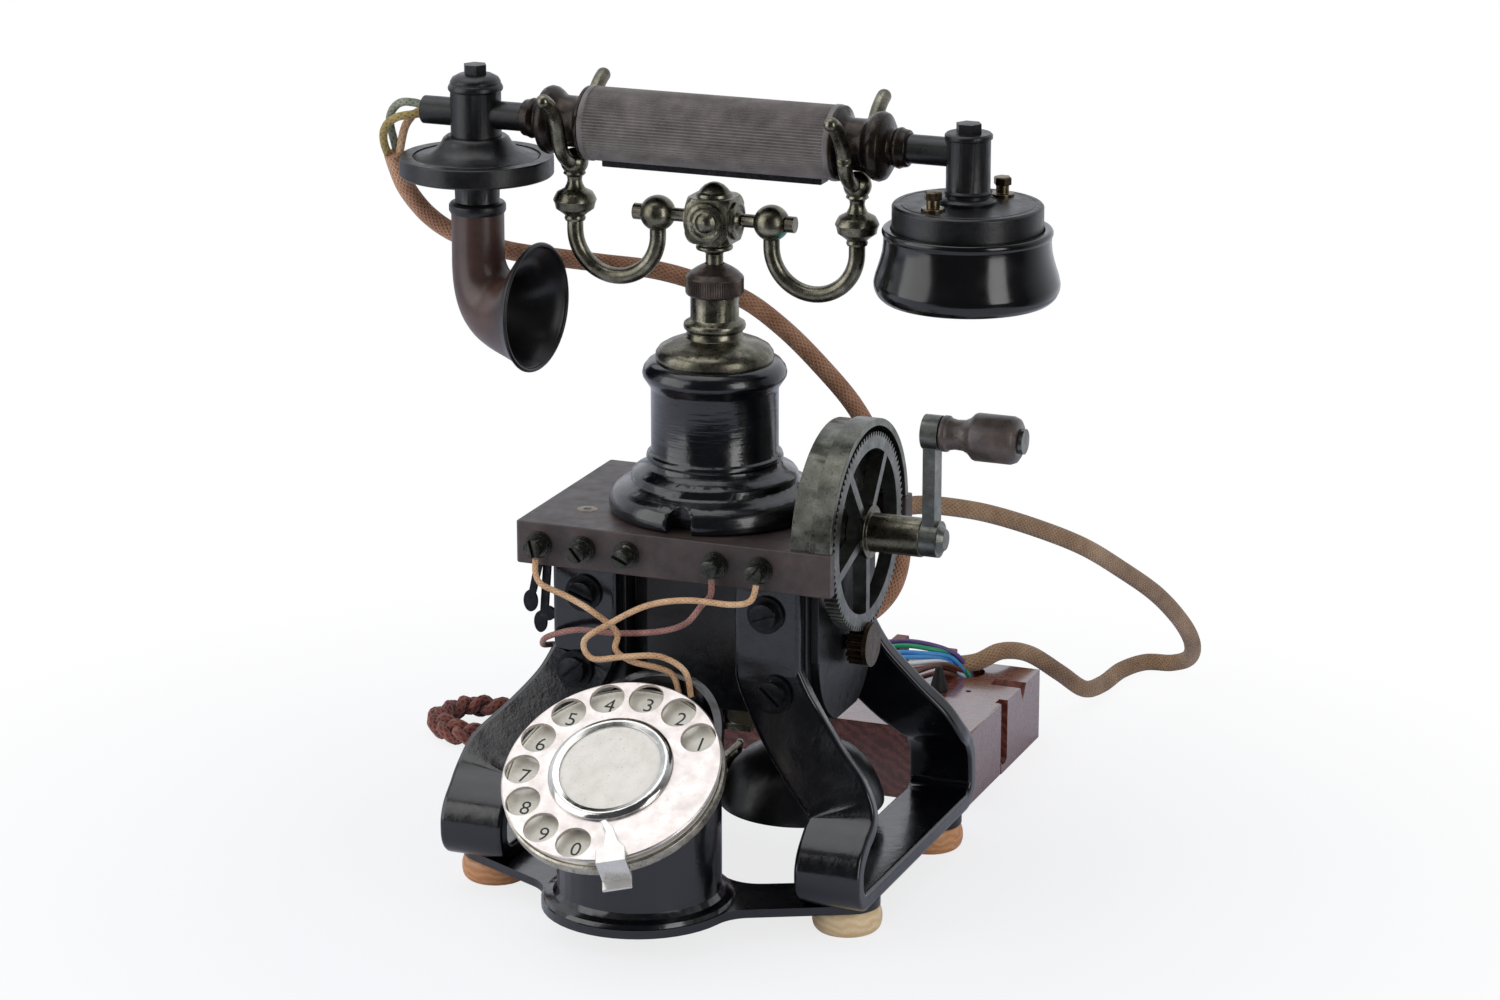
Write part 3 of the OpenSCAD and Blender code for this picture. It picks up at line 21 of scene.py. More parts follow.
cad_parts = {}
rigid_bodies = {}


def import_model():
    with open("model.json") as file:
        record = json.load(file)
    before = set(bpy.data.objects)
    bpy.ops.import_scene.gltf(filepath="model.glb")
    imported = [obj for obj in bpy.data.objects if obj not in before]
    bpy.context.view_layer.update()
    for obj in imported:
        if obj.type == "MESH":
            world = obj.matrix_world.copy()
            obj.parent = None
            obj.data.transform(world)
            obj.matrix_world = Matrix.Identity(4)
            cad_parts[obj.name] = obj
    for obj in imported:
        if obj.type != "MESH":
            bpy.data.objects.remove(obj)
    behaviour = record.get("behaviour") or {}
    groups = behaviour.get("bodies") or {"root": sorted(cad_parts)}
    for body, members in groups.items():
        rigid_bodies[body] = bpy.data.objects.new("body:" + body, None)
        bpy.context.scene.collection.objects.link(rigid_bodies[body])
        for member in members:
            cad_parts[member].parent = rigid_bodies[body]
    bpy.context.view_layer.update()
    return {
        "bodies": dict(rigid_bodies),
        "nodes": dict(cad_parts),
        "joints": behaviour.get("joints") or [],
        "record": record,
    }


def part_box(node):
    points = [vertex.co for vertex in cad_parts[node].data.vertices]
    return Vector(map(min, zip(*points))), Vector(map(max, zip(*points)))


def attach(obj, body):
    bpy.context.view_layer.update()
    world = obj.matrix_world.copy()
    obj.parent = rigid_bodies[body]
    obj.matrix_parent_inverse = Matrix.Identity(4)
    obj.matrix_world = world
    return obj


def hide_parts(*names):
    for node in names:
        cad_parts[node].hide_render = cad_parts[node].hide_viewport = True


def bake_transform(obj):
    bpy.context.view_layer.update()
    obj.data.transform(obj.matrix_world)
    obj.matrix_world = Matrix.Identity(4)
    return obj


LOG = logging.getLogger("telephone")
MM = 0.001
DIAL_CENTRE = (-2.0, -88.0, 63.0)
DIAL_TILT = math.radians(33.3)
NEAR_UP = (0, 0.3, 1)
# Angle in degrees above which an edge of a turned piece stays sharp
TURNED = 42.0

Tree = bpy.types.NodeTree
Socket = bpy.types.NodeSocket
Material = bpy.types.Material
Piece = bpy.types.Object
Point = tuple[float, float, float]
Route = Sequence[Sequence[float]]
Ripple = Callable[[np.ndarray, np.ndarray], np.ndarray]


class Body(Enum):
    """The rigid bodies that pieces ride on."""

    STAND = "stand"
    HANDSET = "handset"
    TALK_BAR = "talk_bar"
    CRADLE = "cradle"
    CRANK = "crank"
    HANDLE = "handle"
    ARMATURE = "armature"
    DIAL = "dial"
    CLAPPER = "clapper"


def linear(hex_colour: str) -> tuple[float, float, float, float]:
    """Turns an sRGB hex colour into linear red, green, blue and alpha.

    Args:
        hex_colour: six hex digits.

    Returns:
        The linear colour with alpha 1.
    """
    channels = [int(hex_colour[i:i + 2], 16) / 255 for i in (0, 2, 4)]
    flat = [c / 12.92 if c <= 0.04045 else ((c + 0.055) / 1.055) ** 2.4 for c in channels]
    return flat[0], flat[1], flat[2], 1.0


def add(tree: Tree, kind: str, inputs: Optional[dict[Any, Any]] = None, out: Any = 0,
        stops: Sequence[tuple[float, str]] = (), **settings: Any) -> Optional[Socket]:
    """Adds one shader node with its settings and links.

    Args:
        tree: the node tree to add to.
        kind: the node's type name after ShaderNode.
        inputs: name or number of an input, with its value or another node's output.
        out: name or number of the output that is wanted.
        stops: place and hex colour of each stop of a colour ramp.
        settings: attributes of the node.

    Returns:
        The wanted output, or None where the node has none.
    """
    node = tree.nodes.new("ShaderNode" + kind)
    for name, value in settings.items():
        setattr(node, name, value)
    for name, value in (inputs or {}).items():
        if isinstance(value, Socket):
            tree.links.new(value, node.inputs[name])
        else:
            node.inputs[name].default_value = value
    if stops:
        elements = node.color_ramp.elements
        while len(elements) < len(stops):
            elements.new(0.5)
        for element, (place, colour) in zip(elements, stops):
            element.position = place
            element.color = linear(colour)
    return node.outputs[out] if len(node.outputs) else None


def empty_tree(owner: Any) -> Tree:
    """Turns on the nodes of a material or a world and clears them.

    Args:
        owner: the material or world.

    Returns:
        Its empty node tree.
    """
    owner.use_nodes = True
    owner.node_tree.nodes.clear()
    return owner.node_tree


@dataclass(frozen=True)
class Finish:
    """A surface with mottled colour, uneven gloss and a fine relief.

    Sizes are in millimetres. colours are hex colours at the stops of a ramp, and blotch is the
    size of the mottling. rough is the least and the most roughness. grain and depth are the fine
    relief's size and height, swell and streak the heights of a brush's swell and level streaks.
    Specks have a colour, a size and a share, and a stain has a centre, a reach and a colour.
    Patterns are read at the object's own coordinates, and origin is the column's axis there.
    """

    name: str
    colours: str
    stops: tuple[float, ...] = (0.3, 0.6, 0.8)
    blotch: float = 12.0
    metallic: float = 0.0
    rough: tuple[float, float] = (0.3, 0.45)
    grain: float = 0.6
    depth: float = 0.02
    swell: float = 0.0
    streak: float = 0.0
    coat: float = 0.0
    coat_rough: float = 0.1
    ior: float = 1.5
    specks: Optional[tuple[str, float, float]] = None
    sheen: float = 0.0
    stain: Optional[tuple[Point, float, str]] = None
    origin: Point = (0.0, 0.0, 0.0)

    @property
    def ramp(self) -> list[tuple[float, str]]:
        """The stops of the colour ramp."""
        return list(zip(self.stops, self.colours.split()))

    def seat(self, place: Point) -> list[float]:
        """Turns millimetres from the column's axis into the frame's metres."""
        return [(c + o) * MM for c, o in zip(place, self.origin)]

    def pattern(self, tree: Tree) -> Socket:
        """Adds the vector that the patterns are read at."""
        return add(tree, "TexCoord", out="Object")

    def colour(self, tree: Tree, where: Socket) -> Socket:
        """Adds the mottled base colour, with the stain and the specks.

        Args:
            tree: the material's nodes.
            where: the vector that the patterns are read at.

        Returns:
            A colour output.
        """
        cloud = add(tree, "TexNoise", {
            "Vector": where, "Scale": 1 / (self.blotch * MM), "Detail": 6.0, "Roughness": 0.62})
        base = add(tree, "ValToRGB", {0: cloud}, stops=self.ramp)
        if self.stain is not None:
            centre, reach, shade = self.stain
            # The distance less a part of the mottling gives the stain a ragged edge
            away = add(tree, "VectorMath", {0: where, 1: self.seat(centre)}, "Value",
                       operation="DISTANCE")
            ragged = add(tree, "Math", {0: cloud, 1: -2 * reach * MM, 2: away},
                         operation="MULTIPLY_ADD")
            share = add(tree, "MapRange", {
                0: ragged, 1: -0.6 * reach * MM, 2: 0.0, 3: 1.0, 4: 0.0})
            base = add(tree, "Mix", {0: share, 6: base, 7: linear(shade)}, 2, data_type="RGBA")
        if self.specks is not None:
            shade, size, amount = self.specks
            start, full = 0.72 - amount, 0.80 - amount / 2
            dots = add(tree, "TexNoise", {
                "Vector": where, "Scale": 1 / (size * MM), "Detail": 3.0, "Roughness": 0.7})
            share = add(tree, "MapRange", {0: dots, 1: start, 2: full})
            base = add(tree, "Mix", {0: share, 6: base, 7: linear(shade)}, 2, data_type="RGBA")
        return base

    def relief(self, tree: Tree, where: Socket) -> Socket:
        """Adds the normal: fine grain, and streaks and a slow swell where they have a height.

        Args:
            tree: the material's nodes.
            where: the vector that the patterns are read at.

        Returns:
            A normal output.
        """
        fine = add(tree, "TexNoise", {
            "Vector": where, "Scale": 1 / (self.grain * MM), "Detail": 3.0, "Roughness": 0.6})
        normal = add(tree, "Bump", {"Strength": 1.0, "Distance": self.depth * MM, "Height": fine})
        squash, apart, wide = (0.08, 0.08, 1.0), 1.4, 4.0
        level = add(tree, "Mapping", {"Vector": where, "Scale": squash})
        for height, vector, size in ((self.streak, level, apart), (self.swell, where, wide)):
            if height > 0:
                slow = add(tree, "TexNoise", {"Vector": vector, "Scale": 1 / (size * MM)})
                normal = add(tree, "Bump", {"Strength": 1.0, "Distance": height * MM,
                                            "Height": slow, "Normal": normal})
        return normal

    def roughness(self, tree: Tree, where: Socket) -> Socket:
        """Adds the uneven roughness, from rubbed to dull.

        Args:
            tree: the material's nodes.
            where: the vector that the patterns are read at.

        Returns:
            A value output.
        """
        rubbed = add(tree, "TexNoise", {"Vector": where, "Scale": 1 / (self.blotch * 0.45 * MM),
                                        "Detail": 5.0, "Roughness": 0.65})
        low, high = self.rough
        return add(tree, "MapRange", {0: rubbed, 1: 0.3, 2: 0.7, 3: low, 4: high})

    def shader(self, tree: Tree) -> Socket:
        """Adds the shader of the whole surface.

        Args:
            tree: the material's nodes.

        Returns:
            A shader output.
        """
        where = self.pattern(tree)
        return add(tree, "BsdfPrincipled", {
            "Base Color": self.colour(tree, where), "Roughness": self.roughness(tree, where),
            "Normal": self.relief(tree, where), "Metallic": self.metallic, "IOR": self.ior,
            "Coat Weight": self.coat, "Coat Roughness": self.coat_rough,
            "Sheen Weight": self.sheen})

    def build(self, origin: Point) -> Material:
        """Makes the material.

        Args:
            origin: the column's axis in the frame, in millimetres.

        Returns:
            The material.
        """
        material = bpy.data.materials.new(self.name)
        tree = empty_tree(material)
        placed = dataclasses.replace(self, origin=origin)
        add(tree, "OutputMaterial", {0: placed.shader(tree)})
        return material


@dataclass(frozen=True)
class Graded(Finish):
    """A finish that darkens along u of the piece's UV map, by pairs of place and darkness."""

    fade: tuple[tuple[float, float], ...] = ((0.0, 0.0), (1.0, 1.0))
    dark: str = "100f11"

    def colour(self, tree: Tree, where: Socket) -> Socket:
        """Adds the mottled colour, darkened along u. See Finish.colour."""
        base = Finish.colour(self, tree, where)
        along = add(tree, "SeparateXYZ", {0: add(tree, "UVMap", uv_map="UVMap")})
        greys = [(u, f"{round(255 * darkness):02x}" * 3) for u, darkness in self.fade]
        shade = add(tree, "ValToRGB", {0: along}, stops=greys)
        return add(tree, "Mix", {0: shade, 6: base, 7: linear(self.dark)}, 2, data_type="RGBA")


@dataclass(frozen=True)
class Timber(Finish):
    """Wood: rings about a leaning axis, with darker pores along the grain."""

    stops: tuple[float, ...] = (0.05, 0.25, 0.5, 0.8)
    ring: float = 2.2
    pore: float = 0.8
    lean: Point = (0.2, 1.45, 0.3)

    def colour(self, tree: Tree, where: Socket) -> Socket:
        """Adds the grain's colour from bent bands and stretched noise. See Finish.colour."""
        turn = add(tree, "Mapping", {"Vector": where, "Rotation": self.lean})
        bands = add(tree, "TexWave", {
            "Vector": turn, "Scale": 0.3 / (self.ring * MM), "Distortion": 7.0, "Detail": 3.0,
            "Detail Scale": 1.4}, 1, wave_type="BANDS", bands_direction="X")
        stretch = add(tree, "Mapping", {"Vector": turn, "Scale": (1.0, 0.08, 1.0)})
        pores = add(tree, "TexNoise", {
            "Vector": stretch, "Scale": 1 / (self.pore * MM), "Detail": 4.0})
        both = add(tree, "Math", {0: bands, 1: pores}, operation="MULTIPLY")
        return add(tree, "ValToRGB", {0: both}, stops=self.ramp)


@dataclass(frozen=True)
class Braided(Finish):
    """Cotton braid: two sets of threads that cross on the piece's own UV map.

    The map runs once round the cord in v, and in u by one for each diameter of length. Real
    threads are too fine to show, so these are drawn two or three times as coarse.
    """

    stops: tuple[float, ...] = (0.1, 0.4, 0.7, 0.95)
    blotch: float = 9.0
    depth: float = 0.05
    sheen: float = 0.2
    threads: float = 5.0
    pitch: float = 0.9

    def shader(self, tree: Tree) -> Socket:
        """Adds the shader, with the threads as relief and as colour that is lighter on their
        crowns and darker where they dip, as painted shade. See Finish.shader.
        """
        flat = add(tree, "UVMap", uv_map="UVMap")
        u, v = (add(tree, "SeparateXYZ", {0: flat}, axis) for axis in (0, 1))
        along = add(tree, "Math", {0: u, 1: math.tau / self.pitch}, operation="MULTIPLY")
        waves = []
        for turns in (self.threads, -self.threads):
            phase = add(tree, "Math", {0: v, 1: math.tau * turns, 2: along},
                        operation="MULTIPLY_ADD")
            waves.append(add(tree, "Math", {0: phase}, operation="SINE"))
        top = add(tree, "Math", dict(enumerate(waves)), operation="MAXIMUM")
        cloud = add(tree, "TexNoise", {
            "Vector": self.pattern(tree), "Scale": 1 / (self.blotch * MM), "Detail": 5.0,
            "Roughness": 0.7})
        # Painted shade: the colour is darker where the threads dip and lighter on their crowns
        painted_crease_shade = add(tree, "MapRange", {0: top, 1: -0.6, 2: 1.0, 3: 0.0, 4: 0.35})
        tint = add(tree, "MapRange", {0: cloud, 1: 0.3, 2: 0.7, 3: 0.0, 4: 0.65})
        mixed = add(tree, "Math", {0: painted_crease_shade, 1: tint}, operation="ADD")
        return add(tree, "BsdfPrincipled", {
            "Base Color": add(tree, "ValToRGB", {0: mixed}, stops=self.ramp), "Roughness": 0.88,
            "Normal": add(tree, "Bump", {
                "Strength": 1.0, "Distance": self.depth * MM, "Height": top}),
            "Sheen Weight": self.sheen, "Sheen Roughness": 0.5})


@dataclass(frozen=True)
class Spun(Finish):
    """Metal turned and brushed in rings about the dial's axis, with stains.

    Real brush marks are too fine to show, so the rings are drawn as wide as line.
    """

    line: float = 0.35

    def pattern(self, tree: Tree) -> Socket:
        """Adds coordinates from the dial's middle, with its axis as Z. See Finish.pattern."""
        move = add(tree, "VectorMath", {
            0: Finish.pattern(self, tree), 1: self.seat(DIAL_CENTRE)}, operation="SUBTRACT")
        return add(tree, "VectorRotate", {"Vector": move, "Angle": -DIAL_TILT},
                   rotation_type="X_AXIS")

    def relief(self, tree: Tree, where: Socket) -> Socket:
        """Adds the normal of fine rings, noise along the radius only. See Finish.relief."""
        flat = add(tree, "VectorMath", {0: where, 1: (1.0, 1.0, 0.0)}, operation="MULTIPLY")
        radius = add(tree, "VectorMath", {0: flat}, "Value", operation="LENGTH")
        rings = add(tree, "TexNoise", {"W": radius, "Scale": 1 / (self.line * MM), "Detail": 4.0},
                    noise_dimensions="1D")
        return add(tree, "Bump", {"Strength": 1.0, "Distance": self.depth * MM, "Height": rings})


PAIR = (0.3, 0.7)
SOFT = (0.3, 0.55, 0.8)
LATE = (0.3, 0.6, 0.85)
METAL = (0.25, 0.5, 0.7, 0.85)
MAHOGANY = {"stops": (0.03, 0.25, 0.5, 0.8), "lean": (0.06, 1.0, 1.0)}

# Stoved black enamel over iron: deep blue-black and glossy, with the brush's swell
ENAMEL = Finish("stoved_enamel", "05060a 090a10 12131a", (0.3, 0.62, 0.8), blotch=16,
                rough=(0.12, 0.28), grain=1.1, depth=0.05, swell=0.1, coat=0.3, ior=1.53,
                specks=("24201d", 1.2, 0.1))
# Brass browned by age: olive bronze, lighter where it is rubbed
BRONZE = Finish("aged_bronze", "48463d 6d6a5c 8c887a b6b2a2", (0.25, 0.5, 0.66, 0.85), blotch=6,
                metallic=1.0, rough=(0.2, 0.38), grain=0.5, specks=("24221c", 0.8, 0.16))

FINISHES = {finish.name: finish for finish in (
    ENAMEL, BRONZE,
    # The column's enamel, brushed on while it turned: level streaks 1.4 mm apart
    dataclasses.replace(ENAMEL, name="brushed_enamel", streak=0.2),
    # The same enamel where dust and handling have dulled it
    Finish("dulled_enamel", "08080a 0e0e11 1a1a1c", blotch=10, rough=(0.26, 0.44), grain=0.7,
           depth=0.04, swell=0.05, specks=("2c2925", 0.9, 0.12)),
    # Iron under thin black paint, nearly matt
    Finish("blackened_iron", "09090b 101114 1f1e20", blotch=9, rough=(0.28, 0.5), grain=0.8,
           depth=0.06, swell=0.1, specks=("332c24", 1.0, 0.12)),
    # The same bronze with a green spot of corrosion under the right ball
    dataclasses.replace(BRONZE, name="stained_bronze", blotch=5, specks=("24221c", 0.8, 0.08),
                        stain=((26.0, -3.0, 228.0), 3.0, "3f9c86")),
    # The guard's drum: bronze wiped darker and duller
    Finish("dull_bronze", "4a4b44 696a61 878880 a6a79d", METAL, blotch=10, metallic=0.95,
           rough=(0.2, 0.4), depth=0.03, specks=("1f1f1a", 0.9, 0.14)),
    # Bronze that has gone brown-black under the hand
    Finish("browned_bronze", "14100e 221b17 372b23 55412f", (0.25, 0.5, 0.68, 0.85), blotch=5,
           metallic=0.6, rough=(0.2, 0.36), grain=0.5, specks=("4d3a2a", 1.0, 0.12)),
    # The pinion's teeth, rubbed lighter by the gear
    Finish("rubbed_bronze", "33291f 4c3e2f 675541 86725a", METAL, blotch=3, metallic=0.85,
           rough=(0.24, 0.4), grain=0.4),
    # The knurled nut's gunmetal: a warm grey, dull between the ribs
    Finish("gunmetal", "3a3431 574e4a 746a63 92887e", (0.25, 0.52, 0.7, 0.85), blotch=6,
           metallic=0.9, rough=(0.26, 0.46), grain=0.5, depth=0.03,
           specks=("51432f", 0.9, 0.12)),
    # Cut steel of the gear and the crank's arm: grey with brown specks
    Finish("grey_steel", "585a56 797b76 979993", blotch=5, metallic=0.95, rough=(0.26, 0.42),
           grain=0.4, specks=("4c4336", 0.8, 0.1)),
    # The terminals' steel, darker and shinier
    Finish("terminal_steel", "2e2f2b 4b4c45 77776c", blotch=3, metallic=0.9, rough=(0.2, 0.36),
           grain=0.4, depth=0.03),
    # Screws of blued steel, worn at the slots
    Finish("blued_steel", "17181a 26272a 45443f", blotch=3, metallic=0.8, rough=(0.24, 0.42),
           grain=0.4, depth=0.03),
    # Brass of the small screws, dulled by tarnish
    Finish("tarnished_brass", "4f4534 7b6c54 a8997c", LATE, blotch=3, metallic=1.0,
           rough=(0.2, 0.36), grain=0.4),
    # Ebonite faded to brown by light, slightly chalky
    Finish("faded_ebonite", "2a2322 3e3432 51433f 65544c", (0.28, 0.5, 0.68, 0.85), blotch=14,
           rough=(0.34, 0.5), grain=0.5, depth=0.025, specks=("5c4c44", 0.8, 0.1)),
    # The grip's, greyed by hands
    Finish("fluted_ebonite", "554f4e 6b6563 807978", SOFT, blotch=9, rough=(0.26, 0.4),
           grain=0.4, depth=0.01),
    # The crank handle's, darker and worn smooth
    Finish("worn_ebonite", "383230 4f4642 685d58", SOFT, blotch=7, rough=(0.24, 0.38),
           grain=0.4, depth=0.01),
    # The horn's, moulded brown, and nearly black where it starts and in its throat
    Graded("brown_ebonite", "32231e 4b352e 60483f 715a4f", METAL, blotch=26, rough=(0.26, 0.4),
           grain=0.5, depth=0.012,
           fade=((0.0, 0.35), (0.08, 0.0), (0.38, 0.06), (0.475, 0.8), (0.5, 1.0))),
    # The ear cap's, polished: black and glassy, with fine scratches
    Finish("polished_ebonite", "050506 08080a 141315", LATE, blotch=14, rough=(0.12, 0.24),
           grain=0.35, depth=0.006, coat=0.2),
    # Rubber filled with lamp black: quite matt
    Finish("lamp_black", "030303 070707", PAIR, rough=(0.55, 0.7)),
    # Nickelled wheel, brushed in rings, with yellow and grey stains
    Spun("nickelled_wheel", "b5aca7 d0c8c4 e0dad7 ebe6e3", (0.22, 0.5, 0.7, 0.85), blotch=9,
         metallic=0.85, rough=(0.24, 0.4), depth=0.008, specks=("a89a80", 1.2, 0.1)),
    # The bezel's nickel, polished almost to a mirror
    Spun("polished_nickel", "bdbcb8 dddcd8 efeeea", blotch=8, metallic=1.0, rough=(0.08, 0.2),
         depth=0.004),
    # Nickel worn through to yellow in spots
    Finish("worn_nickel", "8b8577 b8b3a5 d8d4c8", SOFT, blotch=6, metallic=0.9,
           rough=(0.22, 0.42), grain=0.5, specks=("7b6b4c", 1.4, 0.2)),
    # The finger stop's nickel, still bright
    Finish("bright_nickel", "cbc9c4 dcdad6 e9e8e5", blotch=14, metallic=0.6, rough=(0.2, 0.3),
           depth=0.0),
    # Card under a clear disc, yellowed and foxed
    Spun("ivory_card", "d4cec5 e2ddd5 ece8e2", (0.3, 0.5, 0.75), blotch=7, rough=(0.3, 0.42),
         depth=0.003, coat=0.4, specks=("a79c83", 1.2, 0.1)),
    # Vitreous enamel of the number plate: cream, smooth and glossy
    Finish("white_enamel", "c7c2b4 dcd8cc e8e5dc", blotch=8, rough=(0.2, 0.35), depth=0.005,
           coat=0.3),
    # Printed ink: an even, soft black, which also paints the shade of the gap round the dial's
    # plate
    Finish("black_ink_and_painted_shade", "101010 1c1b1a", PAIR, rough=(0.4, 0.6), depth=0.002),
    # Turned hardwood feet, waxed; one is a paler boxwood
    Timber("turned_hardwood", "bf8556 ca9062 d3996c daa377", rough=(0.34, 0.5), ring=2.6),
    Timber("turned_boxwood", "dcbd8e e2c69b e7cea6 ead4ae", rough=(0.36, 0.5), ring=2.8),
    # Mahogany: red-brown under thick glossy varnish, and bare and dull where it is sawn
    Timber("varnished_mahogany", "54281f 66352b 774238 875046", rough=(0.2, 0.34), depth=0.03,
           ior=1.7, coat=1.0, coat_rough=0.14, **MAHOGANY),
    Timber("sawn_mahogany", "5b2f24 6e3d30 7f4a3b 8f5848", rough=(0.42, 0.6), depth=0.06,
           ring=1.8, **MAHOGANY),
    # Braided cotton of the two thick cords: matt and soft, one of them faded
    *(Braided(name, colours, blotch=26, depth=0.12, threads=14.0, pitch=0.34)
      for name, colours in (("cotton_braid", "714e3a 9a6c4f b7886c d0a786"),
                            ("faded_braid", "604a37 84664b 9c7c5e b49575"))),
    # Cotton sleeves of the thin leads: tan, mauve, olive and grey
    *(Braided(f"{name}_cotton", colours) for name, colours in (
        ("lead", "8a6648 b88f68 cfa983 dec3a2"), ("mauve", "5d3d39 855a52 a0736a b98f84"),
        ("olive", "5a4d2a 85733f a08d54 b5a56e"), ("grey", "3f4338 5f6556 7c8272 989c8c"))),
    # The plait's cotton: red-brown, thick and fluffy
    Braided("brown_plait", "341a17 5f2f27 83473b 9f6251", blotch=10, depth=0.2, sheen=0.3,
            threads=6.0, pitch=0.8),
    # Cotton wound on the coils, dulled by shellac
    Finish("cotton_winding", "2c2a1c 474329 5b5434", blotch=4, rough=(0.6, 0.8), grain=0.4,
           depth=0.1),
    # Plastic sleeves of the block's wires: even and half glossy
    *(Finish(f"{name}_sleeve", colours, PAIR, rough=(0.35, 0.45), depth=0.01)
      for name, colours in (("blue", "2f7fc4 4f9ddb"), ("white", "c9cfd2 e4e8ea"),
                            ("brown", "4a2a20 6a4030"), ("violet", "4a3568 6a5190"),
                            ("green", "1d8a5c 35a878"))))}


def catmull(points: Route, steps: int) -> np.ndarray:
    """Runs a smooth curve through points.

    Between two neighbours the curve is the cubic whose slopes are half the difference of the
    points on either side, with the end points doubled.

    Args:
        points: the points, as rows.
        steps: pieces between two neighbours.

    Returns:
        The curve's points, as rows.
    """
    p = np.asarray(points, float)
    i = np.arange(len(p) - 1)
    a, b, c, d = (p[np.clip(i + k, 0, len(p) - 1)][:, None, :] for k in (-1, 0, 1, 2))
    t = (np.arange(steps) / steps)[None, :, None]
    curve = 0.5 * (2 * b + (c - a) * t + (2 * a - 5 * b + 4 * c - d) * t ** 2
                   + (3 * b - a - 3 * c + d) * t ** 3)
    return np.vstack([curve.reshape(-1, p.shape[1]), p[-1]])


def arc_length(path: np.ndarray) -> np.ndarray:
    """Returns the length from a path's start to each point."""
    return np.concatenate([[0.0], np.cumsum(np.linalg.norm(np.diff(path, axis=0), axis=1))])


def resample(path: np.ndarray, step: float) -> np.ndarray:
    """Spaces a path's points evenly.

    Args:
        path: points as rows.
        step: wanted distance between points.

    Returns:
        The new points, with both ends kept.
    """
    s = arc_length(path)
    wanted = np.linspace(0, s[-1], max(int(round(s[-1] / step)), 2) + 1)
    return np.column_stack([np.interp(wanted, s, column) for column in path.T])


def unit(rows: np.ndarray) -> np.ndarray:
    """Returns vectors, as rows, brought to length one."""
    return rows / np.linalg.norm(rows, axis=1, keepdims=True)


def frames(path: np.ndarray, first: Sequence[float]) -> tuple[np.ndarray, np.ndarray]:
    """Carries a frame along a path without twist.

    Each side vector is the one before it, less its part along the new direction.

    Args:
        path: points as rows.
        first: a vector near the first side vector.

    Returns:
        The side vectors and the vectors across the path and them, as rows.
    """
    ahead = unit(np.gradient(path, axis=0))
    side = np.empty_like(path)
    last = np.asarray(first, float)
    for i, d in enumerate(ahead):
        last = last - (last @ d) * d
        last = last / np.linalg.norm(last)
        side[i] = last
    return side, np.cross(ahead, side)


def rounded(points: Route, radius: float, closed: bool = False) -> np.ndarray:
    """Eases the corners of an outline.

    Each corner becomes a curve between two points on its sides, at the radius or at four tenths
    of the side where that is shorter. A point just outside each keeps the flats flat.

    Args:
        points: the outline's corners.
        radius: how far along the sides the easing starts.
        closed: whether the last point meets the first.

    Returns:
        The eased outline.
    """
    straight, steps = -0.985, 4
    p = np.asarray(points, float)
    out: list[np.ndarray] = []
    n = len(p)
    for i in range(n):
        before, here, after = p[i - 1], p[i], p[(i + 1) % n]
        la, lb = np.linalg.norm(before - here), np.linalg.norm(after - here)
        da, db = (before - here) / la, (after - here) / lb
        if da @ db < straight or not closed and i in (0, n - 1):
            out.append(here)
            continue
        r = min(radius, 0.4 * la, 0.4 * lb)
        a, b = here + da * r, here + db * r
        out.append(here + da * min(r * 1.15, 0.48 * la))
        for t in np.linspace(0, 1, steps + 1):
            out.append((1 - t) ** 2 * a + 2 * t * (1 - t) * here + t ** 2 * b)
        out.append(here + db * min(r * 1.15, 0.48 * lb))
    return np.array(out)


def ring_faces(rings: int, sides: int, caps: bool = False) -> list[list[int]]:
    """Lists the quads between rings of points, and a face over each end where asked.

    Args:
        rings: number of rings.
        sides: points in a ring.
        caps: whether the ends are closed.

    Returns:
        The point numbers of each face.
    """
    i, j = sides * np.arange(rings - 1)[:, None], np.arange(sides)[None, :]
    after = (j + 1) % sides
    quads = np.stack([i + j, i + after, i + sides + after, i + sides + j], axis=-1)
    ends = (range(sides - 1, -1, -1), range((rings - 1) * sides, rings * sides))
    return quads.reshape(-1, 4).tolist() + [list(end) for end in ends if caps]


@dataclass
class Shell:
    """Points, faces and UV map of one surface, in millimetres from the column's axis."""

    points: np.ndarray
    faces: list[Any]
    uvs: Optional[np.ndarray] = None

    def moved(self, matrix: Matrix) -> "Shell":
        """Returns the shell carried by a 4 by 4 matrix."""
        motion = np.array(matrix)
        return Shell(self.points @ motion[:3, :3].T + motion[:3, 3], self.faces, self.uvs)

    def lifted(self, x: float, y: float, z: float) -> "Shell":
        """Returns the shell moved by distances along X, Y and Z."""
        return self.moved(Matrix.Translation((x, y, z)))

    @staticmethod
    def joined(shells: Sequence["Shell"]) -> "Shell":
        """Makes several shells one.

        Args:
            shells: the shells, all with a UV map or none.

        Returns:
            A new shell.
        """
        starts = np.cumsum([0, *(len(shell.points) for shell in shells)]).tolist()
        faces = [[int(k) + start for k in face] for start, shell in zip(starts, shells)
                 for face in shell.faces]
        uvs = [shell.uvs for shell in shells if shell.uvs is not None]
        return Shell(np.vstack([shell.points for shell in shells]), faces,
                     np.vstack(uvs) if uvs else None)


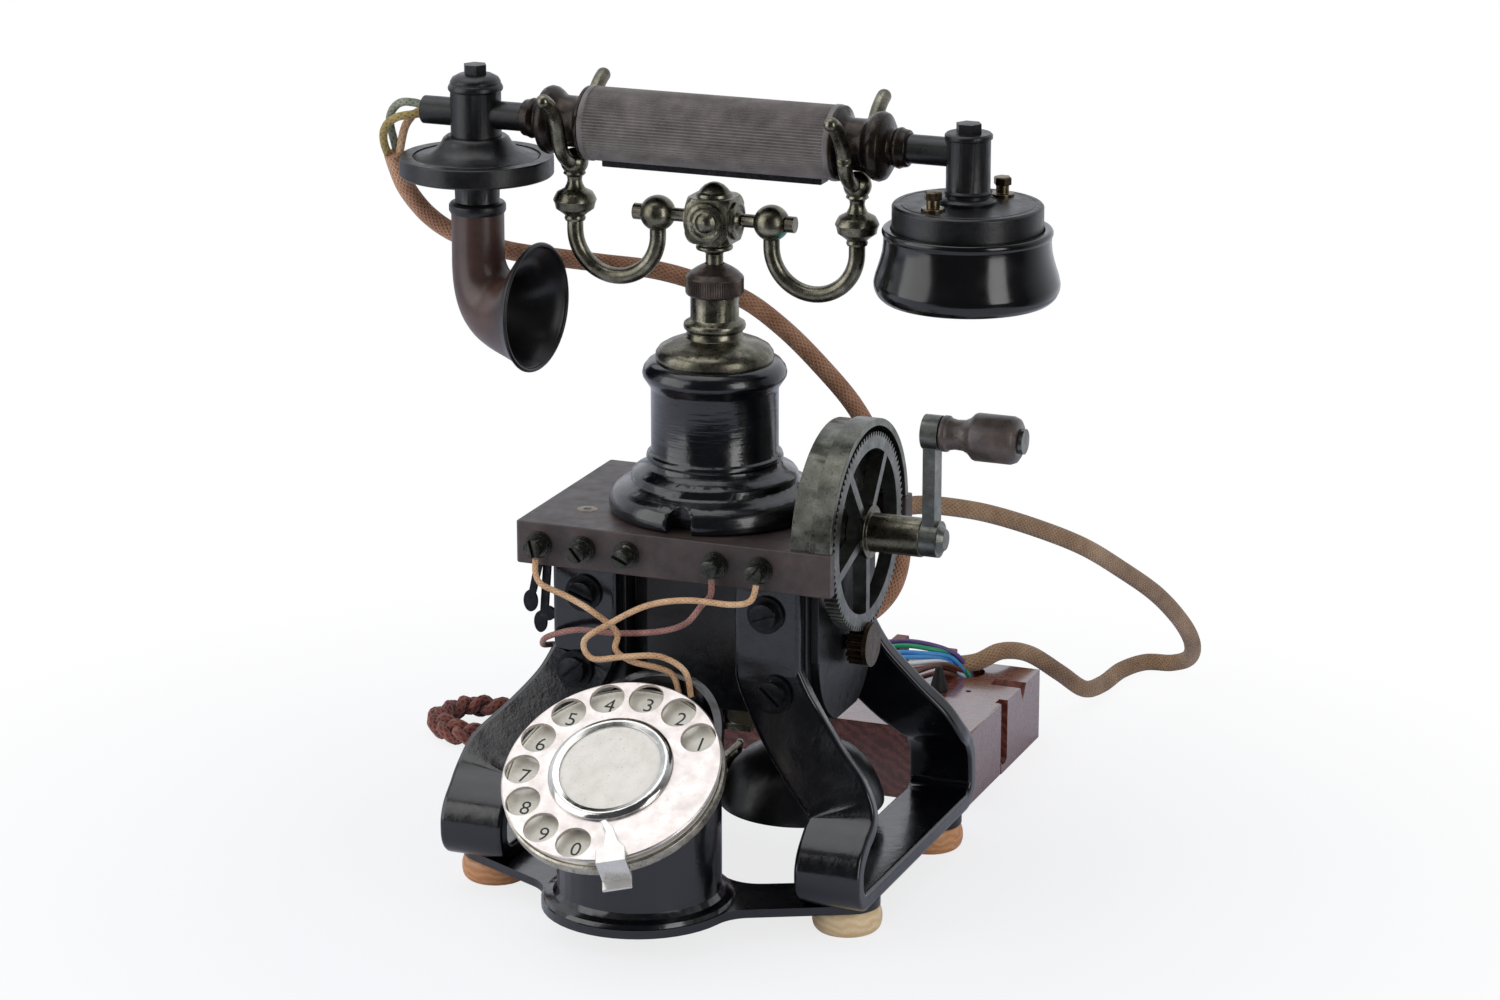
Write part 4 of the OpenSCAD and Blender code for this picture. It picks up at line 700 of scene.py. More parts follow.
def turned(profile: Route, sides: int = 96, ripple: Optional[Ripple] = None) -> Shell:
    """Turns a profile about Z.

    A point at radius r and height z goes to (r cos a, r sin a, z) for every angle a. Where the
    profile starts or ends on the axis, the ring there becomes one point and a fan.

    Args:
        profile: radius and height of each point, so that the outside is on the profile's right.
        sides: steps round the axis.
        ripple: gives a change of radius from the heights and the angles.

    Returns:
        The surface.
    """
    on_axis = 1e-6
    p = np.asarray(profile, float)
    body = p[p[:, 0] >= on_axis]
    angle = np.arange(sides) * math.tau / sides
    r = np.repeat(body[:, :1], sides, axis=1)
    if ripple is not None:
        r = r + ripple(body[:, 1:2], angle[None, :])
    z = np.repeat(body[:, 1:2], sides, axis=1)
    points = np.stack([r * np.cos(angle), r * np.sin(angle), z], axis=-1).reshape(-1, 3)
    faces = ring_faces(len(body), sides)
    for end, low in ((0, 0), (-1, (len(body) - 1) * sides)):
        if p[end, 0] < on_axis:
            rim = [[low + k, low + (k + 1) % sides] for k in range(sides)]
            faces += [[len(points), *(edge if end else edge[::-1])] for edge in rim]
            points = np.vstack([points, [0, 0, p[end, 1]]])
    return Shell(points, faces)


def lathe(profile: Route, place: Point, ease: float = 0.4, sides: int = 96,
          ripple: Optional[Ripple] = None) -> Shell:
    """Returns a profile with eased corners, turned about Z and moved."""
    return turned(rounded(profile, ease), sides, ripple).lifted(*place)


def swept(path: np.ndarray, radius: float, sides: int, first: Sequence[float], diameter: float,
          lobes: Optional[Ripple] = None) -> Shell:
    """Carries a section along a path and closes both ends.

    A point at angle a lies r cos a along the side vector and r sin a across it.

    Args:
        path: points as rows.
        radius: the section's radius r.
        sides: points round the section.
        first: a vector near the first side vector.
        diameter: length that counts as one in u.
        lobes: gives a change of radius from the lengths and the angles.

    Returns:
        The surface, with a UV map.
    """
    s = arc_length(path)
    side, across = frames(path, first)
    angle = np.arange(sides) * math.tau / sides
    r = radius + (lobes(s[:, None], angle[None, :]) if lobes else np.zeros((len(s), sides)))
    points = (path[:, None, :] + (r * np.cos(angle))[..., None] * side[:, None, :]
              + (r * np.sin(angle))[..., None] * across[:, None, :]).reshape(-1, 3)
    i, j = np.divmod(np.arange((len(path) - 1) * sides), sides)
    corners = ((i, j), (i, j + 1), (i + 1, j + 1), (i + 1, j))
    uvs = np.stack([np.column_stack([s[a] / diameter, b / sides]) for a, b in corners], axis=1)
    uvs = np.vstack([uvs.reshape(-1, 2), np.zeros((2 * sides, 2))])
    return Shell(points, ring_faces(len(path), sides, True), uvs)


@dataclass
class Bench:
    """Where pieces are put together.

    It keeps the frame, the column's axis there in millimetres, the materials that have been
    built and the names of the pieces that have been made.
    """

    frame: dict[str, Any]
    axis: np.ndarray
    materials: dict[str, Material] = field(default_factory=dict)
    made: list[str] = field(default_factory=list)

    def place(self, points: Any) -> np.ndarray:
        """Turns millimetres from the column's axis into the frame's metres."""
        return (np.asarray(points, float) + self.axis) * MM

    def material(self, finish: str) -> Material:
        """Gives a finish's material, built the first time that it is asked for.

        Args:
            finish: the finish's name.

        Returns:
            The material.
        """
        if finish not in self.materials:
            self.materials[finish] = FINISHES[finish].build(tuple(self.axis))
        return self.materials[finish]

    def mesh(self, name: str, shell: Shell) -> bpy.types.Mesh:
        """Makes a mesh of a shell, in the frame's metres.

        Args:
            name: the mesh's name.
            shell: the surface.

        Returns:
            The mesh.
        """
        mesh = bpy.data.meshes.new(name)
        mesh.from_pydata(self.place(shell.points).tolist(), [], shell.faces)
        if shell.uvs is not None:
            layer = mesh.uv_layers.new(name="UVMap")
            layer.data.foreach_set("uv", np.asarray(shell.uvs, np.float32).ravel())
        mesh.validate()
        return mesh

    def put(self, name: str, surface: Shell | bpy.types.Mesh, finish: str,
            replaces: Sequence[str] = (), body: Optional[Body] = Body.STAND,
            smooth: float = 40.0, **bevel: Any) -> Piece:
        """Makes a piece: shades it, paints it and seats it on its body.

        Args:
            name: the piece's name.
            surface: its shell, or its mesh where that is ready.
            finish: name of its finish.
            replaces: nodes that it stands for.
            body: what it rides on, or None where it is left on no body.
            smooth: angle in degrees above which an edge stays sharp.
            bevel: settings of its bevel, where it has one.

        Returns:
            The new object.
        """
        mesh = self.mesh(name, surface) if isinstance(surface, Shell) else surface
        piece = bpy.data.objects.new(name, mesh)
        mesh.polygons.foreach_set("use_smooth", np.ones(len(mesh.polygons), bool))
        mesh.set_sharp_from_angle(angle=math.radians(smooth))
        mesh.materials.clear()
        mesh.materials.append(self.material(finish))
        bpy.context.scene.collection.objects.link(piece)
        if bevel:
            modifier = piece.modifiers.new("Bevel", "BEVEL")
            for key, value in {"limit_method": "ANGLE", **bevel}.items():
                setattr(modifier, key, value)
        if body is not None:
            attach(piece, body.value)
        if replaces:
            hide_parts(*replaces)
        self.made.append(piece.name)
        LOG.info("%s rides on %s", piece.name, body)
        return piece

    def eased(self, body: Body, rows: Sequence[tuple[str, str, float]]) -> None:
        """Makes copies of nodes with merged points, eased edges and smooth rounds.

        Args:
            body: what they ride on.
            rows: node, name of its finish and width of the easing in millimetres.
        """
        merge, flat, sharp = 2e-6, math.radians(1.0), math.radians(32.0)
        for node, finish, edge in rows:
            work = bmesh.new()
            work.from_mesh(self.frame["nodes"][node].data)
            bmesh.ops.remove_doubles(work, verts=work.verts, dist=merge)
            bmesh.ops.dissolve_limit(work, angle_limit=flat, verts=work.verts, edges=work.edges)
            mesh = bpy.data.meshes.new(f"{node}_eased")
            work.to_mesh(mesh)
            work.free()
            self.put(mesh.name, mesh, finish, (node,), body, 35.0, width=edge * MM, segments=2,
                     angle_limit=sharp, harden_normals=True)


@dataclass
class Studio:
    """Camera, lamps, world and floor.

    The camera stands where the photograph's did, worked out from the telephone's own shape. The
    table ends table_edge metres in front and to the right, so upright gloss mirrors a dim room.
    """

    azimuth: float = 21.6
    elevation: float = 16.5
    distance: float = 1543.4
    target: Point = (12.95, 0.0, 133.9)
    lens: float = 107.57
    floor_reach: float = 9.0
    table_edge: float = 0.375
    ambient: float = 0.38
    dim: float = 0.07

    def mount(self, data: bpy.types.ID, place: Vector, look: Vector) -> Piece:
        """Stands a camera or a lamp in the scene.

        Args:
            data: the camera's or lamp's data.
            place: where it stands, in metres.
            look: the direction that it faces.

        Returns:
            The object.
        """
        item = bpy.data.objects.new(data.name, data)
        item.location = place
        item.rotation_mode = "QUATERNION"
        item.rotation_quaternion = look.to_track_quat("-Z", "Y")
        bpy.context.scene.collection.objects.link(item)
        return item

    def camera(self, bench: Bench) -> None:
        """Makes the camera at the photograph's place and angle.

        Args:
            bench: gives the column's axis.
        """
        a, e = math.radians(self.azimuth), math.radians(self.elevation)
        back = Vector((math.sin(a) * math.cos(e), -math.cos(a) * math.cos(e), math.sin(e)))
        data = bpy.data.cameras.new("camera")
        data.sensor_width = 36.0
        data.lens = self.lens
        data.clip_start, data.clip_end = 0.05, 60.0
        aim = Vector(bench.place(self.target))
        bpy.context.scene.camera = self.mount(data, aim + back * self.distance * MM, -back)

    def lamp(self, name: str, turn: float, away: float, height: float, size: tuple[float, float],
             power: float) -> None:
        """Adds one soft box that faces the telephone.

        Args:
            name: the lamp's name.
            turn: degrees to the right of the camera, seen from the telephone.
            away: distance over the floor, in metres.
            height: height of its middle, in metres.
            size: width and height, in metres.
            power: its power in watts.
        """
        a = math.radians(self.azimuth + turn)
        place = Vector((math.sin(a) * away, -math.cos(a) * away, height))
        data = bpy.data.lights.new(name, "AREA")
        data.energy = power
        data.shape = "RECTANGLE"
        data.size, data.size_y = size
        middle = Vector((0, 0, 0.13))
        self.mount(data, place, middle - place)

    def world(self) -> None:
        """Makes a room that is white behind the telephone and dim behind the camera."""
        world = bpy.data.worlds.new("room")
        bpy.context.scene.world = world
        tree = empty_tree(world)
        camera, through, glossy = (add(tree, "LightPath", out=f"Is {kind} Ray")
                                   for kind in ("Camera", "Transmission", "Glossy"))
        seen = add(tree, "Math", {0: camera, 1: through}, operation="MAXIMUM")
        turn, upwards = math.radians(self.azimuth), 0.25
        # What gloss mirrors goes from dim behind the camera to full behind the telephone
        facing = add(tree, "VectorMath", {
            0: add(tree, "TexCoord", out="Generated"),
            1: (-math.sin(turn), math.cos(turn), upwards)}, "Value", operation="DOT_PRODUCT")
        level = add(tree, "MapRange", {0: facing, 1: -0.25, 2: 0.55, 3: self.dim, 4: 1.0})
        lit, shown, mirrored = (
            add(tree, "Background", {0: linear(colour), 1: power}) for colour, power in (
                ("f2f4f8", self.ambient), ("ffffff", 1.0), ("eef1f8", level)))
        room = add(tree, "MixShader", {0: glossy, 1: lit, 2: mirrored})
        add(tree, "OutputWorld", {0: add(tree, "MixShader", {0: seen, 1: room, 2: shown})})

    def floor(self) -> None:
        """Makes the white sweep that the telephone stands on, which keeps its shadow."""
        material = bpy.data.materials.new("white_sweep")
        tree = empty_tree(material)
        # To the camera the paper turns pure white between 14 and 36 cm out, so no edge shows
        away = add(tree, "VectorMath", {0: add(tree, "TexCoord", out="Object")}, "Value",
                   operation="LENGTH")
        far = add(tree, "MapRange", {0: away, 1: 0.14, 2: 0.36, 3: 0.78, 4: 1.0})
        share = add(tree, "Math", {0: add(tree, "LightPath", out="Is Camera Ray"), 1: far},
                    operation="MULTIPLY")
        mix = add(tree, "MixShader", {
            0: share, 1: add(tree, "BsdfDiffuse", {0: linear("e8ecfb")}),
            2: add(tree, "Emission", {0: linear("ffffff"), 1: 1.0})})
        add(tree, "OutputMaterial", {0: mix})
        turn = Matrix.Rotation(math.radians(self.azimuth), 3, "Z")
        r, near = self.floor_reach, self.table_edge
        corners = ((-r, -near, 0), (near, -near, 0), (near, r, 0), (-r, r, 0))
        mesh = bpy.data.meshes.new("floor")
        mesh.from_pydata([turn @ Vector(corner) for corner in corners], [], [(0, 1, 2, 3)])
        mesh.materials.append(material)
        floor = bpy.data.objects.new("floor", mesh)
        bpy.context.scene.collection.objects.link(floor)

    def build(self, bench: Bench) -> None:
        """Makes everything round the telephone.

        Args:
            bench: gives the column's axis.
        """
        bpy.context.scene.view_settings.view_transform = "Standard"
        self.camera(bench)
        self.world()
        self.floor()
        self.lamp("left_box", -72, 1.3, 0.5, (1.1, 1.4), 10.0)
        self.lamp("right_box", 40, 1.5, 0.5, (0.6, 1.3), 8.5)
        self.lamp("overhead", -100, 0.35, 1.5, (1.3, 1.3), 6.6)


@dataclass
class Cords:
    """The handset cord, the line cord and the plait, along the routes of their solids.

    A bare core of the handset cord has a finish, the angle where it starts, how far it bows out
    and how far it turns, with both angles in radians.
    """

    handset_d: float = 6.6
    line_d: float = 6.6
    strand_d: float = 4.2
    plait_d: float = 10.0
    plait_pitch: float = 25.0
    core_r: float = 1.45
    loose: float = 27.0

    CORES = (("lead_cotton", 1.6, 3.2, 0.48), ("olive_cotton", 3.4, 1.6, 2.4),
             ("grey_cotton", 5.3, 2.2, 2.4))
    # From the tube's end to the rear pole piece
    HANDSET = ((-108, 0, 261.7), (-111, 0, 261.7), (-117, 1, 259.5), (-121.5, 2, 254.5),
               (-123, 4, 247), (-122.5, 7, 239), (-120, 10, 230), (-114, 15, 220),
               (-104, 19, 213), (-88, 24, 208), (-70, 28, 206), (-54, 30, 205), (-37, 32, 204),
               (-22, 34, 201), (-5, 38, 195), (9, 41, 185), (22, 44, 172), (33, 49, 157),
               (41, 53, 140), (46, 57, 122), (48, 58, 105), (46, 56, 91), (40, 51, 82),
               (31, 47, 78), (22, 44, 79), (15, 40, 83), (13, 36, 86), (13, 33.4, 86))
    # The other two run from the board to the connection block
    LINE = ((51, 44.4, 122), (51, 48, 122), (55, 57, 121), (63, 68, 118), (72, 84, 112),
            (83, 105, 102), (93, 130, 89), (99, 160, 72), (104, 190, 54), (106, 218, 35),
            (105, 238, 20), (100, 252, 9), (91, 259, 3.5), (81, 256, 3.5), (75, 243, 3.5),
            (73, 224, 3.5), (71, 206, 7), (66, 190, 18), (58, 176, 29), (51, 164, 33),
            (45, 155, 31), (39, 152, 30), (36, 152, 30))
    PLAIT = ((-24, 44.4, 122), (-24, 52, 122), (-29, 62, 115), (-38, 68, 98), (-50, 72, 72),
             (-66, 76, 44), (-84, 82, 20), (-104, 94, 7), (-126, 106, 5.2), (-145, 104, 5.2),
             (-150, 88, 5.2), (-138, 76, 5.2), (-118, 76, 5.2), (-100, 88, 8), (-84, 106, 16),
             (-80, 130, 24), (-66, 150, 30), (-46, 160, 32.5), (-24, 156, 32), (0, 150, 31.7),
             (8, 149, 31.7), (12, 149, 31.7))

    def cores(self, top: np.ndarray) -> list[Shell]:
        """Makes the three bare cores, which bow out and meet again under the braid.

        Args:
            top: the cord's middle line along them.

        Returns:
            Their surfaces.
        """
        share = np.linspace(0, 1, len(top))
        side, across = frames(top, NEAR_UP)
        bow = np.sin(math.pi * share ** 0.9)
        shells = []
        apart, drawn_in = 1.75, 0.4
        for _, start, reach, twist in self.CORES:
            a = start + twist * share
            r = apart + reach * bow - drawn_in * share
            line = top + (r * np.cos(a))[:, None] * side + (r * np.sin(a))[:, None] * across
            shells.append(swept(line, self.core_r, 14, NEAR_UP, 3.0))
        return shells

    def tube(self, bench: Bench, name: str, route: Route, diameter: float, finish: str,
             replaces: Sequence[str], body: Optional[Body],
             loose: float = 0.0) -> tuple[Piece, np.ndarray]:
        """Makes a braided cord, whose three cores can be bare at its start.

        Args:
            bench: where it is put.
            name: the piece's name.
            route: its points.
            diameter: its diameter.
            finish: its finish.
            replaces: nodes that it stands for.
            body: what it rides on, or None where it is left on no body.
            loose: length of the bare cores.

        Returns:
            The piece and its middle line in the frame's metres.
        """
        whole = resample(catmull(route, 8), 1.2)
        cut, overlap = int(np.searchsorted(arc_length(whole), loose)), 4
        cores = self.cores(whole[:cut + overlap]) if loose > 0 else []
        parts = [swept(whole[cut:], diameter / 2, 20, NEAR_UP, diameter), *cores]
        piece = bench.put(name, Shell.joined(parts), finish, replaces, body, 60.0)
        for core in self.CORES[:len(cores)]:
            piece.data.materials.append(bench.material(core[0]))
        slots = np.repeat(np.arange(len(parts)), [len(part.faces) for part in parts])
        piece.data.polygons.foreach_set("material_index", slots.astype(np.int32))
        return piece, bench.place(resample(whole, 4.0))

    def lobes(self, s: np.ndarray, angle: np.ndarray) -> np.ndarray:
        """Gives a strand four lobes, which turn once in nine millimetres of its length s."""
        return -0.16 * (1 - np.cos(4 * angle + math.tau * s / 9.0))

    def plait(self, bench: Bench) -> tuple[Piece, np.ndarray]:
        """Makes the plait: three strands that pass over each other in turn.

        A strand's place across the plait is sin(p) and its height is sin(2p), with the three
        strands a third of a turn apart in p.

        Args:
            bench: where it is put.

        Returns:
            The piece and its middle line in the frame's metres.
        """
        path = resample(catmull(self.PLAIT, 8), 1.0)
        side, across = frames(path, (0, 0, 1))
        reach, rise = (self.plait_d - self.strand_d) / 2, 0.62 * self.strand_d * 0.8
        strands = []
        for k in range(3):
            p = math.tau * (arc_length(path) / self.plait_pitch + k / 3)[:, None]
            line = path + reach * np.sin(p) * across + rise * np.sin(2 * p) * side
            strands.append(swept(line, self.strand_d / 2, 16, (0, 0.2, 1), self.strand_d,
                                 self.lobes))
        piece = bench.put("plait", Shell.joined(strands), "brown_plait", ("plait_cord",),
                          smooth=60.0)
        return piece, bench.place(resample(path, 4.0))

    def build(self, bench: Bench, block: Sequence[Piece]) -> None:
        """Args:
            bench: where they are put.
            block: the pieces of the connection block that the line cord ends on; not used.
        """
        handset, middle = self.tube(bench, "handset_braid", self.HANDSET, self.handset_d,
                                    "cotton_braid", ("handset_cord_top", "handset_cord"), None,
                                    self.loose)
        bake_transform(handset)
        line, middle = self.tube(bench, "line_braid", self.LINE, self.line_d, "faded_braid",
                                 ("line_cord",), Body.STAND)
        plait, middle = self.plait(bench)


@dataclass
class Stand:
    """Feet, magnets, poles, cheeks, board and screws.

    A leg of a magnet is given by rows of share of the way out, place back and height.
    """

    band_w: float = 23.5
    band_t: float = 6.0
    foot_d: float = 24.0
    foot_h: float = 9.0

    FRONT = ((0, 34, 84), (0.24, 36, 70), (0.61, 41, 56), (0.89, 44.5, 47), (1, 47.5, 40.5),
             (1, 53.5, 35.5), (1, 58.5, 31), (1, 60.8, 26.5))
    REAR = ((0, 34, 84), (0.24, 35.5, 70), (0.61, 38, 57), (0.89, 41, 48.5), (1, 44.5, 42.5),
            (1, 50, 38), (1, 53.6, 33), (1, 54.8, 27.5))
    NODES = (("dial_stand", "stoved_enamel", 0.5), ("magnet_screws", "blued_steel", 0.3),
             ("pole_front", "blackened_iron", 0.6), ("pole_rear", "blackened_iron", 0.6),
             ("cheeks", "blackened_iron", 0.4), ("board", "faded_ebonite", 0.5),
             ("terminals", "terminal_steel", 0.25), ("foot_spacers", "dulled_enamel", 0.4),
             ("contact_springs", "blued_steel", 0.15), ("cord_glands", "faded_ebonite", 0.4))

    def magnet_path(self) -> np.ndarray:
        """Gives the middle line of the right magnet, as its solid has it, in finer steps.

        Returns:
            Points as rows, from the top of the front leg to the top of the rear one.
        """
        rail, toe_r, top_x, foot_x, mid_y = 15.0, 7.0, 33.5, 65.5, 34.0
        lines = []
        for leg, toe, sign in ((self.FRONT, 61.0, -1), (self.REAR, 55.0, 1)):
            gain = (toe - mid_y) / (leg[-1][1] + 0.2 - mid_y)
            shape = [(top_x + out * (foot_x - top_x), mid_y + (y - mid_y) * gain, z)
                     for out, y, z in leg]
            curve = catmull([*shape, (foot_x, toe, rail + toe_r)], 10)
            bend = np.radians(np.arange(6, 91, 6))
            arc = np.column_stack([np.full(len(bend), foot_x), toe - toe_r * (1 - np.cos(bend)),
                                   rail + toe_r * (1 - np.sin(bend))])
            straight = np.array([(top_x, mid_y, z) for z in (115, 108, 100, 92, 88)])
            lines.append(np.vstack([straight, curve, arc]) * (1, sign, 1))
        return np.vstack([lines[0], lines[1][::-1]])

    def magnet(self, bench: Bench, side: int) -> None:
        """Sweeps a flat bar with eased corners along the magnet's line.

        Args:
            bench: where it is put.
            side: 1 on the right and -1 on the left.
        """
        path = self.magnet_path()
        ahead = unit(np.gradient(path, axis=0))
        across = unit(np.array([1.0, 0, 0]) - ahead[:, :1] * ahead)
        out = np.cross(across, ahead)
        w, t = self.band_w / 2, self.band_t / 2
        section = rounded([(w, -t), (w, t), (-w, t), (-w, -t)], 1.5, closed=True)
        points = (path[:, None, :] + section[None, :, :1] * across[:, None, :]
                  - section[None, :, 1:] * out[:, None, :]).reshape(-1, 3) * (side, 1, 1)
        faces = [face[::side] for face in ring_faces(len(path), len(section), True)]
        name = "magnet_right" if side > 0 else "magnet_left"
        bench.put(f"{name}_bar", Shell(points, faces), "stoved_enamel", (name,), smooth=50.0)

    def foot(self, x: float, y: float) -> Shell:
        """Returns a foot with eased edges that stands at x and y."""
        r, h = self.foot_d / 2, self.foot_h
        return lathe(((0, 0.0), (r - 1.8, 0.0), (r - 0.5, 1.4), (r, 3.4), (r, h - 3.2),
                      (r - 0.7, h - 1.0), (r - 1.6, h), (0, h)), (x, y, 0), 1.0, 64)

    def build(self, bench: Bench) -> None:
        """Makes the stand's pieces.

        Args:
            bench: where they are put.
        """
        for side in (1, -1):
            self.magnet(bench, side)
        x, front, rear = 65.5, -43, 41
        bench.put("foot_left_front_turned", self.foot(-x, front), "turned_hardwood",
                  ("foot_front_left",))
        bench.put("foot_right_front_turned", self.foot(x, front), "turned_boxwood",
                  ("foot_front_right",))
        bench.put("feet_rear_turned", Shell.joined([self.foot(-x, rear), self.foot(x, rear)]),
                  "turned_hardwood", ("feet_rear",))
        bench.eased(Body.STAND, self.NODES)


@dataclass
class Handset:
    """Grip, ferrules, tube, transmitter with its horn, and receiver with its cap.

    A ring of the horn is given as out, down, turn in degrees and share of the flare.
    """

    z: float = 261.7
    mouth_x: float = 88.5
    ear_x: float = 90.6
    grip_l: float = 91.0
    grip_r: float = 12.9
    flutes: int = 72
    flute_depth: float = 0.5
    horn_d: float = 18.4
    horn_mouth_d: float = 45.4
    horn_wall: float = 1.6
    horn_turn: float = 5.4
    neck_z: float = 228.9

    RINGS = ((0, -2, 0, 0), (0, -15, 0, 0), (0.2, -21, 10, 0.02), (1.5, -26.5, 24, 0.09),
             (4.2, -30.8, 40, 0.21), (8.2, -33.2, 56, 0.37), (12.5, -33.8, 70, 0.53),
             (16.5, -33.7, 82, 0.68), (19.5, -33.6, 88, 0.81), (21.7, -33.5, 90, 0.95),
             (22.5, -33.5, 90, 1))

    def grip(self) -> Shell:
        """Makes the fluted grip with plain rims and the slot for the talk bar under it.

        A point at angle a has radius r - d (1 - cos(n a)) / 2. In the slot's length and width the
        height is the slot's ceiling, and a tiny step on either side keeps its walls upright.

        Returns:
            Its surface.
        """
        half, slot_l, slot_w, ceiling = self.grip_l / 2, 40.3, 3.75, -9.0
        edge = math.asin(slot_w / self.grip_r)
        angle = np.arange(self.flutes * 6) * math.tau / (self.flutes * 6)
        walls = [-math.pi / 2 + k * (edge + e) for k in (-1, 1) for e in (-1e-4, 1e-4)]
        angle = np.sort(np.concatenate([angle, np.mod(walls, math.tau)]))
        ends = np.array([0.0, 0.05, 0.3, 0.9, 1.9, 2.3])
        x = np.concatenate([ends - half, [-slot_l - 0.01, -slot_l, 0, slot_l, slot_l + 0.01],
                            half - ends[::-1]])
        near = half - np.abs(x)
        rim = np.interp(near, ends, [0.6, 0.3, 0.05, 0.0, 0.0, 0.25])
        deep = np.where(near > 2.2, self.flute_depth, 0.0)[:, None]
        r = self.grip_r - rim[:, None] - deep * (0.5 - 0.5 * np.cos(self.flutes * angle[None, :]))
        y, z = r * np.cos(angle), r * np.sin(angle)
        cut = (np.abs(x)[:, None] <= slot_l) & (np.abs(y) <= slot_w) & (z < 0)
        z = np.where(cut, ceiling, z)
        points = np.stack([x[:, None] + 0 * y, y, z + self.z], axis=-1).reshape(-1, 3)
        return Shell(points, ring_faces(len(x), len(angle), True))

    def horn(self) -> Shell:
        """Makes the horn: rings that turn through the elbow and widen to the flare.

        The surface goes down the outside, round the lip and back inside.

        Returns:
            Its surface, whose u runs the same way.
        """
        wall, sides = self.horn_wall, 72
        line = catmull(self.RINGS, 8)
        bend = np.linspace(0, math.pi, 7)
        lip = np.repeat(line[-1:], len(bend), axis=0)
        lip[:, 0] += 0.55 * wall * np.sin(bend)
        path = np.vstack([line[:-1], lip, line[-2::-1]])
        less = np.concatenate([np.zeros(len(line) - 1), wall * (1 - np.cos(bend)) / 2,
                               np.full(len(line) - 1, wall)])
        r = self.horn_d / 2 + path[:, 3] * (self.horn_mouth_d - self.horn_d) / 2 - less
        r, out, down = r[:, None], path[:, :1], path[:, 1:2]
        a = (np.arange(sides) * math.tau / sides)[None, :]
        t = np.radians(path[:, 2:3])
        points = np.stack([out + r * np.cos(a) * np.cos(t), r * np.sin(a) + 0 * t,
                           down + r * np.cos(a) * np.sin(t)], axis=-1).reshape(-1, 3)
        u = arc_length(path[:, :3]) / arc_length(path[:, :3])[-1]
        i = np.arange((len(path) - 1) * sides) // sides
        uvs = np.stack([np.column_stack([u[i + k], 0 * u[i]]) for k in (1, 1, 0, 0)], axis=1)
        faces = [face[::-1] for face in ring_faces(len(path), sides)]
        spin = Matrix.Rotation(-math.radians(self.horn_turn), 4, "Z")
        return Shell(points, faces, uvs.reshape(-1, 2)).moved(spin).lifted(
            -self.mouth_x, 0, self.neck_z)

    def build(self, bench: Bench) -> None:
        """Makes the handset's pieces.

        Args:
            bench: where they are put.
        """
        body = Body.HANDSET
        bench.put("grip_fluted", self.grip(), "fluted_ebonite", ("handset_grip",), body, 30.0)
        bench.put("horn_flared", self.horn(), "brown_ebonite", ("horn",), body, 60.0)
        bench.eased(body, [(node, finish, 0.2) for node, finish in (
            ("ferrules", "browned_bronze"), ("handset_tube", "dulled_enamel"),
            ("tee_mouth", "dulled_enamel"), ("transmitter_case", "dulled_enamel"),
            ("tee_ear", "dulled_enamel"), ("diaphragms", "worn_nickel"))])
        bench.eased(Body.TALK_BAR, [("talk_bar", "blued_steel", 0.4)])
        lip, r, b = 236.7, 31.2, 25.35
        cap = lathe((
            (5.6, 6.2), (6.4, 3.0), (8, 2.2), (14, 1.4), (21, 0.6), (25, 0), (r - 3, 0.6),
            (r - 1.2, 2.2), (r - 0.2, 4.4), (r, 6.4), (r - 0.6, 9), (r - 1.4, 11.4),
            (r - 2.2, 14), (r - 2.9, 17), (r - 3.2, 20), (r - 3.15, 22.2), (r - 2.7, 23.0),
            (r - 2.6, 23.9), (r - 3.1, 24.8), (r - 4, 25.0), (b + 0.5, 24.9), (b, 24.2),
            (b, 11), (5.6, 9.6)), (self.ear_x, 0, lip - 25), 0.7)
        bench.put("ear_cap_polished", cap, "polished_ebonite", ("ear_cap",), body, TURNED)
        top = 245.1
        case = lathe((
            (22.8, -22.4), (25.3, -22.4), (25.3, -1.0), (24.6, -0.3), (23.0, -0.2),
            (22.6, -0.45), (22.2, -0.2), (18, 0), (0, 0)), (self.ear_x, 0, top), 0.3)
        bench.put("receiver_drum", case, "dulled_enamel", ("receiver_case",), body, TURNED)
        stud = ((4, 0), (4, 0.8), (2.2, 0.9), (2.2, 3.8), (0, 3.8))
        nut = ((0, 3.6), (2.9, 3.6), (3.1, 3.9), (3.1, 6.0), (2.7, 6.4), (0, 6.5))
        for k, (x, y) in enumerate(((-7, -15), (7, 15))):
            place = (self.ear_x + x, y, top)
            bench.put(f"terminal_stud_{k}", lathe(stud, place, 0.15, 32), "tarnished_brass", (),
                      body, TURNED)
            bench.put(f"terminal_nut_{k}", lathe(nut, place, 0.1, 6), "tarnished_brass", (), body,
                      25.0)


def box(low: Sequence[float], high: Sequence[float]) -> tuple[tuple[float, float], ...]:
    """Returns a rectangle between two corners, counterclockwise."""
    return (low[0], low[1]), (high[0], low[1]), (high[0], high[1]), (low[0], high[1])


